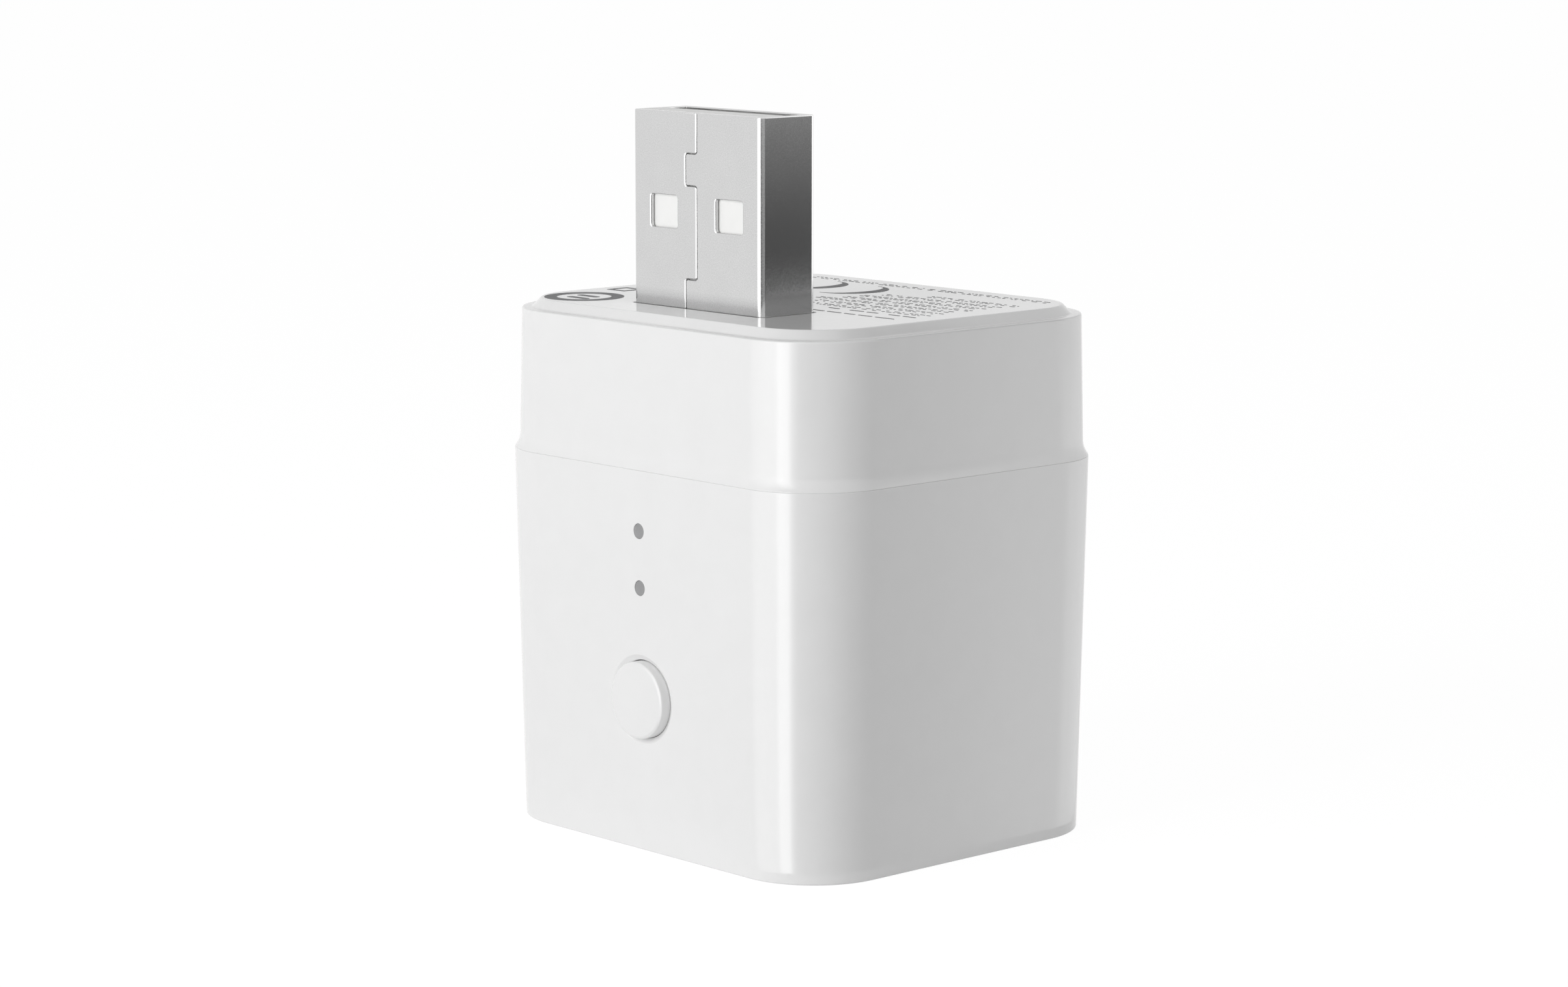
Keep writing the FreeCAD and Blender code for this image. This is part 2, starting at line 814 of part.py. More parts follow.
def switch_posts(side, front, rear):
    """Square pegs at the four places where the frame is held on the switch."""
    posts = []
    for x in mirrored(post_offset):
        for z in mirrored(post_offset):
            posts.append(block(centred(x, side), (front, rear), centred(button_z + z, side)))
    return posts


def switch_body():
    """The moulded base of the tactile switch."""
    frame_rear = switch_front_y + switch_frame_thickness
    body = switch_outline(frame_rear, board_front_y)
    body = body.fuse(switch_posts(post_side, switch_front_y, frame_rear + overcut))
    well = rod_on_y(plunger_radius + plunger_gap, frame_rear - overcut,
                    switch_front_y + plunger_depth + button_travel + plunger_gap, 0, button_z)
    return body.cut(well).removeSplitter()


def switch_frame():
    """The steel plate on the front of the tactile switch."""
    frame_rear = switch_front_y + switch_frame_thickness
    plate = switch_outline(switch_front_y, frame_rear)
    holes = switch_posts(post_side + 2 * post_gap, switch_front_y - overcut, frame_rear + overcut)
    holes.append(rod_on_y(plunger_radius + plunger_gap, switch_front_y - overcut, frame_rear + overcut,
                          0, button_z))
    return plate.cut(holes)


def switch_terminals():
    """The four bent feet of the tactile switch."""
    feet = []
    for side in (-1, 1):
        inner = side * switch_side / 2
        path = [(inner, board_front_y - terminal_rise), (inner, board_front_y),
                (inner + side * terminal_foot, board_front_y)]
        for z in mirrored(terminal_offset):
            section = strip_section(path, -side * terminal_thickness)
            feet.append(plan_prism(section, terminal_width, button_z + z))
    return Part.makeCompound(feet)


# Lights


def light_rod(name):
    """A clear rod from a lamp to the front wall, stepped down to its domed tip."""
    z = light_heights[name]
    tip = front_wall_y(z) + light_tip_recess
    shoulder = front_wall_y(z) + wall + light_tip_gap
    rear = board_front_y - lamp_height - rod_lamp_gap
    tip_radius = light_hole_radius - light_tip_gap
    profile = [(0, tip - light_tip_dome)]
    for number in range(1, edge_chords + 1):
        share = number / edge_chords
        profile.append((tip_radius * share, tip - light_tip_dome * (1 - share ** 2)))
    profile += [(tip_radius, shoulder), (rod_radius, shoulder), (rod_radius, rear), (0, rear)]
    return turned_on_y(profile, 0, z)


def lamp(name):
    """A surface lamp: a flat base with a narrower lens."""
    z = light_heights[name]
    base = block(centred(0, lamp_length), (board_front_y - lamp_base, board_front_y), centred(z, lamp_width))
    lens = block(centred(0, lamp_lens_length), (board_front_y - lamp_height, board_front_y - lamp_base),
                 centred(z, lamp_width))
    return base.fuse(lens)


# Boards and packages


def board_slots(half_width, low):
    """The two slots of the board that take the legs of a connector."""
    slots = []
    for side in (-1, 1):
        x_range = sorted((side * (half_width + leg_clearance), side * (half_width - sheet - leg_clearance)))
        slots.append(block(x_range, (board_front_y - overcut, board_rear_y + overcut),
                           (low - leg_clearance, low + leg_height + leg_clearance)))
    return slots


def main_board():
    """The circuit board, with slots for the legs of both connectors."""
    board = block(centred(0, board_width), (board_front_y, board_rear_y), (board_bottom, board_top))
    board = board.makeFillet(board_corner, edges_along_y(board))
    slots = board_slots(plug_width / 2, plug_base + plug_leg_rise)
    slots += board_slots(socket_width / 2, socket_recess + socket_leg_rise)
    return board.cut(slots)


def radio_board():
    """The small radio board with a row of notched pads along both sides."""
    board = block(centred(radio_x, radio_width), (board_rear_y, board_rear_y + radio_thickness),
                  (radio_z, radio_z + radio_length))
    pads = []
    for x in centred(radio_x, radio_width):
        for number in range(radio_pads):
            z = radio_z + radio_pad_start + number * radio_pad_pitch
            pads.append(block(centred(x, 2 * radio_pad_cut),
                              (board_rear_y - overcut, board_rear_y + radio_thickness + overcut),
                              centred(z, radio_pad_width)))
    return board.cut(pads)


def radio_shield():
    """The pressed steel lid over the radio chip, open towards its board."""
    face = board_rear_y + radio_thickness
    z_range = (radio_z + can_margin, radio_z + can_margin + can_length)
    lid = block(centred(radio_x, can_width), (face, face + can_height), z_range)
    lid = lid.makeFillet(can_corner, edges_along_y(lid))
    lid = lid.makeChamfer(can_bevel, edges_at_rear(lid))
    hollow = block(centred(radio_x, can_width - 2 * can_sheet),
                   (face - overcut, face + can_height - can_sheet),
                   (z_range[0] + can_sheet, z_range[1] - can_sheet))
    hollow = hollow.makeFillet(can_corner - can_sheet, edges_along_y(hollow))
    return lid.cut(hollow)


def radio_chip():
    """The radio chip under its lid."""
    face = board_rear_y + radio_thickness
    middle = radio_z + can_margin + can_length / 2
    chip = block(centred(radio_x, chip_side), (face, face + chip_height), centred(middle, chip_side))
    return chip.makeChamfer(chip_edge_bevel, edges_along_y(chip))


def antenna_trace():
    """The printed aerial at the end of the radio board, folded to and fro."""
    face = board_rear_y + radio_thickness
    low = radio_z + radio_length - antenna_length - antenna_margin
    high = low + antenna_length
    start = radio_x - antenna_turns * antenna_pitch / 2
    tracks = []
    for number in range(antenna_turns + 1):
        x = start + number * antenna_pitch
        tracks.append(block(centred(x, antenna_track), (face, face + antenna_height), (low, high)))
    for number in range(antenna_turns):
        level = high - antenna_track if number % 2 == 0 else low
        left = start + number * antenna_pitch - antenna_track / 2
        tracks.append(block((left, left + antenna_pitch + antenna_track), (face, face + antenna_height),
                            (level, level + antenna_track)))
    return tracks[0].fuse(tracks[1:]).removeSplitter()


def drafted_package(width, height, length, x, z):
    """A moulded package on the rear of the board with sides that lean in."""
    face = board_rear_y + package_lift
    outlines = []
    for rise, inset in ((0, package_draft), (height / 2, 0), (height, package_draft)):
        left, right = centred(x, width - 2 * inset)
        low, high = centred(z, length - 2 * inset)
        corners = [(left, low), (right, low), (right, high), (left, high), (left, low)]
        outlines.append(Part.makePolygon([Vector(a, face + rise, b) for a, b in corners]))
    return Part.makeLoft(outlines, True, True)


def lead_path(edge, side):
    """A bent lead as (distance along the board, y) points, from a package down to the board."""
    root = board_rear_y + lead_level
    bend = edge + side * lead_reach / 2
    return [(edge, root), (bend, root), (bend, board_rear_y), (edge + side * lead_reach, board_rear_y)]


def power_switch_leads():
    """Four bent leads on each long side of the power switch."""
    leads = []
    for side in (-1, 1):
        path = lead_path(power_switch_x + side * power_switch_width / 2, side)
        for number in range(power_switch_pins):
            z = power_switch_z + (number - (power_switch_pins - 1) / 2) * power_switch_lead_pitch
            section = strip_section(path, side * lead_thickness)
            leads.append(plan_prism(section, power_switch_lead_width, z))
    return Part.makeCompound(leads)


def regulator_leads():
    """Three leads below the regulator and its wide tab above."""
    leads = []
    places = [(-1, number * regulator_lead_pitch, regulator_lead_width) for number in (-1, 0, 1)]
    places.append((1, 0, regulator_tab_width))
    for side, offset, width in places:
        path = [(y, z) for z, y in lead_path(regulator_z + side * regulator_length / 2, side)]
        section = strip_section(path, -side * lead_thickness)
        leads.append(side_prism(section, width, regulator_x + offset))
    return Part.makeCompound(leads)


def capacitor_can():
    """The round can of the input capacitor with the groove above its seat."""
    seat = board_rear_y + capacitor_base_height
    top = board_rear_y + capacitor_height
    groove = seat + capacitor_groove_height
    profile = [
        (0, seat),
        (capacitor_radius, seat),
        (capacitor_radius, groove - capacitor_groove),
        (capacitor_radius - capacitor_groove, groove),
        (capacitor_radius, groove + capacitor_groove),
        (capacitor_radius, top - capacitor_groove),
        (capacitor_radius - capacitor_groove, top),
        (0, top),
    ]
    return turned_on_y(profile, capacitor_x, capacitor_z)


def capacitor_base():
    """The square seat of the input capacitor with its two cut corners."""
    base = block(centred(capacitor_x, capacitor_base_side),
                 (board_rear_y, board_rear_y + capacitor_base_height),
                 centred(capacitor_z, capacitor_base_side))
    cut = [edge for edge in edges_along_y(base) if edge.BoundBox.ZMin > capacitor_z]
    return base.makeChamfer(capacitor_base_corner, cut)


def front_chip(size, x, z):
    """A small sealed package on the front of the board, given as width, height and length."""
    width, height, length = size
    chip = block(centred(x, width), (board_front_y - height, board_front_y), centred(z, length))
    return chip.makeChamfer(chip_edge_bevel, edges_along_y(chip))


def lamp_resistors():
    """The two resistors beside the lamps."""
    return Part.makeCompound([front_chip(resistor_size, resistor_x, z) for z in light_heights.values()])


def assembly():
    """Every piece of the switch by its name."""
    pieces = {
        "lower_housing": lower_housing(),
        "top_cover": top_cover(),
        "button_cap": button_cap(),
        "switch_plunger": switch_plunger(),
        "switch_body": switch_body(),
        "switch_frame": switch_frame(),
        "switch_terminals": switch_terminals(),
        "main_board": main_board(),
        "plug_shell": plug_shell(),
        "plug_insulator": plug_insulator(),
        "socket_shell": socket_shell(),
        "socket_insulator": socket_insulator(),
        "radio_board": radio_board(),
        "radio_shield": radio_shield(),
        "radio_chip": radio_chip(),
        "antenna_trace": antenna_trace(),
        "power_switch_body": drafted_package(power_switch_width, power_switch_height, power_switch_length,
                                             power_switch_x, power_switch_z),
        "power_switch_leads": power_switch_leads(),
        "regulator_body": drafted_package(regulator_width, regulator_height, regulator_length,
                                          regulator_x, regulator_z),
        "regulator_leads": regulator_leads(),
        "input_capacitor_can": capacitor_can(),
        "input_capacitor_base": capacitor_base(),
        "resettable_fuse": front_chip(fuse_size, fuse_x, fuse_z),
        "output_capacitor": front_chip(chip_capacitor_size, chip_capacitor_x, chip_capacitor_z),
        "lamp_resistors": lamp_resistors(),
    }
    for name in contact_sites:
        pieces["plug_contact_" + name] = plug_contact(name)
        pieces["socket_contact_" + name] = socket_contact(name)
    for name in light_heights:
        pieces[name + "_light_rod"] = light_rod(name)
        pieces[name + "_status_lamp"] = lamp(name)
    return pieces


os.makedirs("parts", exist_ok=True)
for node, shape in assembly().items():
    shape.exportStep(os.path.join("parts", node + ".step"))
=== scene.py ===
"""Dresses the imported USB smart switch: smooth bodies, softened metal parts, finishes, studio and camera.

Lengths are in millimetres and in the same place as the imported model. A mesh is turned into metres
when it is finished.
"""
from __future__ import annotations

import logging
import math
import random
from cmath import rect
from dataclasses import astuple, dataclass, replace
from enum import Enum
from functools import cache
from itertools import accumulate
from typing import Iterable, Sequence

import bmesh
import bpy
from mathutils import Euler, Matrix, Vector


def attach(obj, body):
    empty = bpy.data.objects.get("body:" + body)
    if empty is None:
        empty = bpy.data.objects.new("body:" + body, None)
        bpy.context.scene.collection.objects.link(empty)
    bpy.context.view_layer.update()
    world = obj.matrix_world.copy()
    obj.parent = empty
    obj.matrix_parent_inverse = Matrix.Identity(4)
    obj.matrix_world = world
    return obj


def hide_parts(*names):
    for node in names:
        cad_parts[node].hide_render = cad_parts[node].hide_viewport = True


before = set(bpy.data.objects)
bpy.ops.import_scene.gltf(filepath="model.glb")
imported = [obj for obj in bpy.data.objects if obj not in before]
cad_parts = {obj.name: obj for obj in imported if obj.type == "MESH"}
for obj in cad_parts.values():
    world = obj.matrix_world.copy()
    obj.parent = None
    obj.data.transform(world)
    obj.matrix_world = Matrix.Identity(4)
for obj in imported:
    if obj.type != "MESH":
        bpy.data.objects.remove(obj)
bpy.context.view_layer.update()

MILLIMETRE = 0.001
LOG = logging.getLogger("smart_switch")

Colour = tuple[float, float, float]
Point2 = tuple[float, float]
Point3 = tuple[float, float, float]
Span = tuple[float, float]
Profile = tuple[Point2, ...]
Thing = bpy.types.Object
Mesh = bmesh.types.BMesh
Material = bpy.types.Material
Socket = bpy.types.NodeSocket
Source = Socket | float | tuple


class Body(Enum):
    """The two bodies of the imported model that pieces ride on."""

    HOUSING = "housing"
    BUTTON = "button"


class Joining(Enum):
    """How one closed mesh changes another."""

    CUT = "DIFFERENCE"
    FUSE = "UNION"


class Grain(Enum):
    """The direction in which the surface lines of a metal run, as the length of a line along each axis."""

    EVEN = (1.0, 1.0, 1.0)
    ALONG_PLUG = (1.0, 1.0, 6.0)
    ACROSS_PLUG = (5.0, 5.0, 1.0)
    FRONT_TO_BACK = (1.0, 6.0, 1.0)


# Shapes

CRISP_ANGLE = 30.0  # edges of a new piece that turn by more degrees than this stay crisp
EASED_ANGLE = 35.0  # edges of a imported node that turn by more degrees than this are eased
EASED_STEPS = 3
FLAT_ANGLE = 0.5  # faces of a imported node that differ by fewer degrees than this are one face
SAME_PLACE = 0.0002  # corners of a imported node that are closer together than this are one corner
FACE_WEIGHT = 80  # how far large faces rule the shading of the edges beside them
LARGEST_TURN = 0.45  # the largest share of a wall that a softened turn takes
PAST = 0.5  # how far a form reaches past the face that it cuts or joins


def between(near: Sequence[float], far: Sequence[float], share: float) -> tuple[float, ...]:
    """Finds the numbers part of the way from one row of numbers to another."""
    return tuple(a + (b - a) * share for a, b in zip(near, far))


def skin(mesh: Mesh, loops: Sequence[Sequence[bmesh.types.BMVert]]) -> None:
    """Adds the faces between loops of equally many corners.

    Args:
        mesh: The mesh that gets the faces.
        loops: The loops in order.
    """
    for near, far in zip(loops, loops[1:]):
        for number, corner in enumerate(near):
            following = (number + 1) % len(near)
            mesh.faces.new((corner, near[following], far[following], far[number]))


def linked(name: str, data: bpy.types.ID) -> Thing:
    """Makes an object of some data, puts it into the scene and returns it."""
    bpy.context.scene.collection.objects.link(thing := bpy.data.objects.new(name, data))
    return thing


def placed(name: str, mesh: Mesh) -> Thing:
    """Makes an object of a mesh and puts it into the scene.

    Args:
        name: The name of the object.
        mesh: The mesh, which is used up.

    Returns:
        The object.
    """
    data = bpy.data.meshes.new(name)
    mesh.to_mesh(data)
    mesh.free()
    return linked(name, data)


@dataclass(frozen=True)
class Ring:
    """A level rectangle with round corners."""

    width: float
    depth: float
    corner: float  # the radius of its four corners
    z: float
    centre_y: float = 0.0
    soft: float = 0.0  # how far from the ring a wall starts to turn

    def mixed(self, other: Ring, share: float) -> Ring:
        """Finds the ring part of the way to another one, with no softness of its own."""
        return replace(Ring(*between(astuple(self), astuple(other), share)), soft=0.0)

    def distance(self, other: Ring) -> float:
        """Measures the wall between this ring and another one where it is longest."""
        reach = max(abs(self.width - other.width), abs(self.depth - other.depth)) / 2
        return math.hypot(reach, self.z - other.z)

    def inset(self, amount: float, z: float, corner: float, soft: float = 0.0) -> Ring:
        """Draws the ring in by an amount on every side, with a new height, corner and softness."""
        return Ring(self.width - 2 * amount, self.depth - 2 * amount, corner, z, self.centre_y, soft)

    def points(self, steps: int) -> list[Vector]:
        """Lays points round the ring.

        Args:
            steps: Number of steps in each corner.

        Returns:
            The points, corner by corner, counter-clockwise from above.
        """
        reach_x, reach_y = self.width / 2 - self.corner, self.depth / 2 - self.corner
        points = []
        for number, (side_x, side_y) in enumerate(((1, 1), (-1, 1), (-1, -1), (1, -1))):
            for step in range(steps + 1):
                angle = (number + step / steps) * math.pi / 2
                points.append(Vector((side_x * reach_x + self.corner * math.cos(angle),
                                      self.centre_y + side_y * reach_y + self.corner * math.sin(angle), self.z)))
        return points


@dataclass(frozen=True)
class Loft:
    """A closed wall that passes through a closed path of rings."""

    rings: tuple[Ring, ...]  # the last one leads back to the first
    corner_steps: int = 20
    soft_steps: int = 4

    def softened(self) -> list[Ring]:
        """Puts a rounded turn in place of each soft ring.

        Returns:
            The path of rings.
        """
        path: list[Ring] = []
        for number, ring in enumerate(self.rings):
            if ring.soft <= 0:
                path.append(ring)
                continue
            before, after = self.rings[number - 1], self.rings[(number + 1) % len(self.rings)]
            start, end = (ring.mixed(other, min(LARGEST_TURN, ring.soft / ring.distance(other)))
                          for other in (before, after))
            for step in range(self.soft_steps + 1):
                share = step / self.soft_steps
                path.append(start.mixed(ring, share).mixed(ring.mixed(end, share), share))
        return path

    def write(self, mesh: Mesh) -> None:
        """Adds the wall to a mesh."""
        loops = [[mesh.verts.new(point) for point in ring.points(self.corner_steps)] for ring in self.softened()]
        skin(mesh, loops + loops[:1])


@dataclass(frozen=True)
class Turning:
    """A closed form turned about a line."""

    profile: Profile  # (radius, distance along the line) points; both ends lie on the line
    origin: Point3
    axis: Point3 = (0.0, 1.0, 0.0)
    segments: int = 96

    def write(self, mesh: Mesh) -> None:
        """Adds the turned form to a mesh.

        Args:
            mesh: The mesh that gets the faces.
        """
        start, axis = Vector(self.origin), Vector(self.axis).normalized()
        side = axis.cross(Vector((0.0, 0.0, 1.0))).normalized()
        other = axis.cross(side)
        angles = [2 * math.pi * step / self.segments for step in range(self.segments)]
        ends = [mesh.verts.new(start + axis * self.profile[place][1]) for place in (0, -1)]
        loops = [[mesh.verts.new(start + axis * distance + (side * math.cos(angle) + other * math.sin(angle)) * radius)
                  for angle in angles] for radius, distance in self.profile[1:-1]]
        skin(mesh, loops)
        for end, loop in zip(ends, (loops[0], loops[-1])):
            for step, corner in enumerate(loop):
                mesh.faces.new((end, corner, loop[(step + 1) % self.segments]))


@dataclass(frozen=True)
class Prism:
    """A flat outline drawn out along a line."""

    outline: tuple[Sequence[float], ...]
    along: Sequence[float]

    @classmethod
    def block(cls, x: Span, y: Span, z: Span) -> Prism:
        """Makes a plain block from its limits along the three axes."""
        outline = ((x[0], y[0], z[0]), (x[1], y[0], z[0]), (x[1], y[1], z[0]), (x[0], y[1], z[0]))
        return cls(outline, (0.0, 0.0, z[1] - z[0]))

    def write(self, mesh: Mesh) -> None:
        """Adds the prism to a mesh.

        Args:
            mesh: The mesh that gets the faces.
        """
        near = [mesh.verts.new(point) for point in self.outline]
        far = [mesh.verts.new(Vector(point) + Vector(self.along)) for point in self.outline]
        mesh.faces.new(near)
        mesh.faces.new(far[::-1])
        skin(mesh, (near, far))


Form = Loft | Turning | Prism
Work = list[tuple[Joining, Form]]


def smooth(thing: Thing, sharp_angle: float) -> None:
    """Shades an object smooth, with crisp edges and flat large faces.

    Args:
        thing: The object.
        sharp_angle: Edges that turn by more degrees than this stay crisp.
    """
    thing.data.shade_smooth()
    thing.data.set_sharp_from_angle(angle=math.radians(sharp_angle))
    weighted = thing.modifiers.new("even_shading", "WEIGHTED_NORMAL")
    weighted.keep_sharp = True
    weighted.weight = FACE_WEIGHT


def formed(name: str, form: Form) -> Thing:
    """Makes an object, still in millimetres, from a closed form.

    Args:
        name: The name of the object.
        form: The form.

    Returns:
        The object.
    """
    mesh = bmesh.new()
    form.write(mesh)
    bmesh.ops.recalc_face_normals(mesh, faces=mesh.faces[:])
    return placed(name, mesh)


def shaped(name: str, form: Form, work: Iterable[tuple[Joining, Form]] = ()) -> Thing:
    """Makes an object from a closed form, and cuts others out of it or fuses them with it.

    Args:
        name: The name of the object.
        form: The form it starts from.
        work: The other forms in order, each with how it is joined.

    Returns:
        The object, in metres and shaded smooth with crisp edges.
    """
    thing = formed(name, form)
    for how, other in work:
        tool = formed("tool", other)
        joint = thing.modifiers.new("join", "BOOLEAN")
        joint.operation, joint.solver, joint.object = how.value, "EXACT", tool
        thing.data = bpy.data.meshes.new_from_object(
            thing.evaluated_get(bpy.context.evaluated_depsgraph_get()))
        thing.modifiers.clear()
        bpy.data.objects.remove(tool)
    thing.data.transform(Matrix.Scale(MILLIMETRE, 4))
    thing.data.name = name
    smooth(thing, CRISP_ANGLE)
    return thing


def softened_copy(node: str, name: str, edge: float) -> Thing:
    """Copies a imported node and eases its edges.

    Args:
        node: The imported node.
        name: The name of the copy.
        edge: The width of the eased edges.

    Returns:
        The copy, in place.
    """
    mesh = bmesh.new()
    mesh.from_mesh(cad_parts[node].data)
    bmesh.ops.remove_doubles(mesh, verts=mesh.verts[:], dist=SAME_PLACE * MILLIMETRE)
    bmesh.ops.dissolve_limit(mesh, angle_limit=math.radians(FLAT_ANGLE), verts=mesh.verts[:], edges=mesh.edges[:])
    bmesh.ops.recalc_face_normals(mesh, faces=mesh.faces[:])
    thing = placed(name, mesh)
    if "custom_normal" in thing.data.attributes:
        thing.data.attributes.remove(thing.data.attributes["custom_normal"])
    eased = thing.modifiers.new("eased_edges", "BEVEL")
    eased.width = edge * MILLIMETRE
    eased.segments = EASED_STEPS
    eased.limit_method = "ANGLE"
    eased.angle_limit = math.radians(EASED_ANGLE)
    eased.use_clamp_overlap = False
    smooth(thing, EASED_ANGLE)
    return thing


# Finishes

BLACK = (0.0, 0.0, 0.0, 1.0)
USUAL_NOISE = (0.3, 0.7)  # where nearly all values of a noise lie


def shaded(colour: Colour, amount: float) -> tuple[float, ...]:
    """Makes a colour lighter or darker by a share of itself."""
    return (*(min(1.0, channel * (1.0 + amount)) for channel in colour), 1.0)


class Nodes:
    """Short calls that add nodes to one node tree."""

    def __init__(self, tree: bpy.types.NodeTree) -> None:
        """Starts to work in a node tree."""
        self.tree = tree

    def fill(self, node: bpy.types.Node, inputs: dict[str | int, Source]) -> None:
        """Links sockets to the inputs of a node, or sets plain values on them.

        Args:
            node: The node.
            inputs: A socket or a plain value for each input by its name or number.
        """
        for key, source in inputs.items():
            if isinstance(source, Socket):
                self.tree.links.new(source, node.inputs[key])
            else:
                node.inputs[key].default_value = source

    def add(self, kind: str, inputs: dict[str | int, Source], output: str | int = 0,
            **settings: str | bool) -> Socket:
        """Adds a node.

        Args:
            kind: Its type.
            inputs: A socket or a plain value for each input by its name or number.
            output: The output that is wanted.
            **settings: Its settings.

        Returns:
            The output.
        """
        node = self.tree.nodes.new(f"ShaderNode{kind}")
        for name, value in settings.items():
            setattr(node, name, value)
        self.fill(node, inputs)
        return node.outputs[output]

    def spread(self, value: Socket, onto: tuple[Source, Source], low: float = 0.0, high: float = 1.0) -> Socket:
        """Maps a value from between low and high onto another span, and keeps it there."""
        return self.add("MapRange", {"Value": value, "From Min": low, "From Max": high,
                                     "To Min": onto[0], "To Max": onto[1]})

    def direct(self) -> Socket:
        """Tells the rays by which something is seen, in itself, in a shiny surface or through a clear one.

        Returns:
            1 for such rays and 0 for any other.
        """
        path = self.tree.nodes.new("ShaderNodeLightPath").outputs
        first = self.add("Math", {0: path["Is Camera Ray"], 1: path["Is Glossy Ray"]}, operation="ADD")
        return self.add("Math", {0: first, 1: path["Is Transmission Ray"]}, operation="ADD", use_clamp=True)


class Shading(Nodes):
    """Short calls that lay out one procedural material, with grain sizes in millimetres."""

    def __init__(self, name: str) -> None:
        """Starts a material.

        Args:
            name: Its name.
        """
        self.material = bpy.data.materials.new(name)
        self.material.use_nodes = True
        super().__init__(self.material.node_tree)
        self.shader = self.tree.nodes["Principled BSDF"]
        coordinates = self.tree.nodes.new("ShaderNodeTexCoord").outputs
        self.place, self.facing = coordinates["Object"], coordinates["Normal"]

    def spaced(self, grain: float, direction: Grain = Grain.EVEN) -> Socket:
        """Gives the object's own coordinates counted in grains, drawn out along a direction."""
        scale = tuple(1.0 / (grain * length * MILLIMETRE) for length in direction.value)
        return self.add("Mapping", {"Vector": self.place, "Scale": scale})

    def noise(self, grain: float, detail: float, direction: Grain = Grain.EVEN) -> Socket:
        """Gives clouds of a size, with some finer layers, as a value from 0 to 1."""
        return self.add("TexNoise", {"Vector": self.spaced(grain, direction), "Scale": 1.0, "Detail": detail})

    def tinted(self, share: Socket, first: Source, second: Source) -> Socket:
        """Mixes two colours, from the first at 0 to the second at 1."""
        return self.add("Mix", {0: share, 6: first, 7: second}, 2, data_type="RGBA")

    def relief(self, height: Socket, depth: float, **more: Source) -> Socket:
        """Gives the normals of a shallow relief; Strength and Normal are optional."""
        return self.add("Bump", {"Height": height, "Distance": depth * MILLIMETRE, "Strength": 1.0, **more})

    def surface(self, colour: Socket, roughness: Source, normal: Socket, **more: float) -> Material:
        """Fills the shader of the material and returns the material."""
        self.fill(self.shader, {"Base Color": colour, "Roughness": roughness, "Normal": normal, **more})
        return self.material

    def worn(self, noise: Socket, roughness: float, stray: float) -> Socket:
        """Gives a roughness that strays by a share of itself as a noise does."""
        return self.spread(noise, (roughness * (1.0 - stray), roughness * (1.0 + stray)), *USUAL_NOISE)

    def stage(self, thing: Thing, surface: Socket) -> Thing:
        """Gives a thing of the studio this material with another surface than the usual one.

        Args:
            thing: The thing, which is no piece of the object.
            surface: The surface.

        Returns:
            The thing.
        """
        self.tree.nodes.remove(self.shader)
        self.fill(self.tree.nodes["Material Output"], {"Surface": surface})
        thing.data.materials.append(self.material)
        return thing


@dataclass(frozen=True)
class MouldedPlastic:
    """Moulded plastic, epoxy or ceramic with a faint cloudiness and the fine relief of its mould."""

    name: str
    colour: Colour
    roughness: float = 0.3
    refraction: float = 1.5  # its index of refraction
    cloud: float = 0.02  # how far its colour strays, as a share
    cloud_size: float = 2.2
    wear: float = 0.14  # how far its roughness strays, as a share
    wear_size: float = 0.9
    grain: float = 0.12  # the size of its fine relief
    depth: float = 0.0006

    def material(self) -> Material:
        """Lays out the material.

        Returns:
            The material.
        """
        shading = Shading(self.name)
        clouds = shading.spread(shading.noise(self.cloud_size, detail=4.0), (0.0, 1.0), *USUAL_NOISE)
        return shading.surface(
            shading.tinted(clouds, shaded(self.colour, -self.cloud), shaded(self.colour, self.cloud)),
            shading.worn(shading.noise(self.wear_size, detail=3.0), self.roughness, self.wear),
            shading.relief(shading.noise(self.grain, detail=2.0), self.depth), IOR=self.refraction)


@dataclass(frozen=True)
class PlatedMetal:
    """Sheet metal with a rolled grain under its plating, and, where a foot is given, painted shade that darkens the
    foot of its front.
    """

    name: str
    colour: Colour
    roughness: float = 0.28
    direction: Grain = Grain.EVEN
    grain: float = 0.05  # the width of a rolled line
    depth: float = 0.0008  # the depth of the lines
    cloud: float = 0.05  # how far its colour strays, as a share
    cloud_size: float = 1.6
    wear: float = 0.25  # how far its roughness strays, as a share
    speck: float = 0.0  # how much darker single lines are, as a share
    speck_noise: Span = (0.35, 0.65)
    foot: Span | None = None  # where the painted shade on the foot of its front ends and where it is darkest along Z
    painted_foot_shade: float = 0.3  # how much darker the painted shade makes the foot, as a share
    front: Span = (-0.6, -0.95)  # the Y parts of the normals where the front starts and is whole; only the front gets the painted shade

    def material(self) -> Material:
        """Lays out the material.

        Returns:
            The material.
        """
        shading = Shading(self.name)
        clouds = shading.spread(shading.noise(self.cloud_size, detail=5.0), (0.0, 1.0), *USUAL_NOISE)
        colour = shading.tinted(clouds, shaded(self.colour, -self.cloud), shaded(self.colour, self.cloud))
        lines = shading.noise(self.grain, 3.0, self.direction)
        if self.speck > 0:
            colour = shading.tinted(shading.spread(lines, (self.speck, 0.0), *self.speck_noise), colour, BLACK)
        # Painted shade: the foot of the front face darkens towards the cover, in place of contact shadow and
        # reflection.
        if self.foot is not None:
            low = shading.spread(shading.add("SeparateXYZ", {0: shading.place}, "Z"), (0.0, self.painted_foot_shade),
                                 *(z * MILLIMETRE for z in self.foot))
            front = shading.spread(shading.add("SeparateXYZ", {0: shading.facing}, "Y"), (0.0, 1.0), *self.front)
            painted_shade_mask = shading.add("Math", {0: low, 1: front}, operation="MULTIPLY")
            colour = shading.tinted(painted_shade_mask, colour, BLACK)
        return shading.surface(colour, shading.worn(lines, self.roughness, self.wear),
                               shading.relief(lines, self.depth), Metallic=1.0)


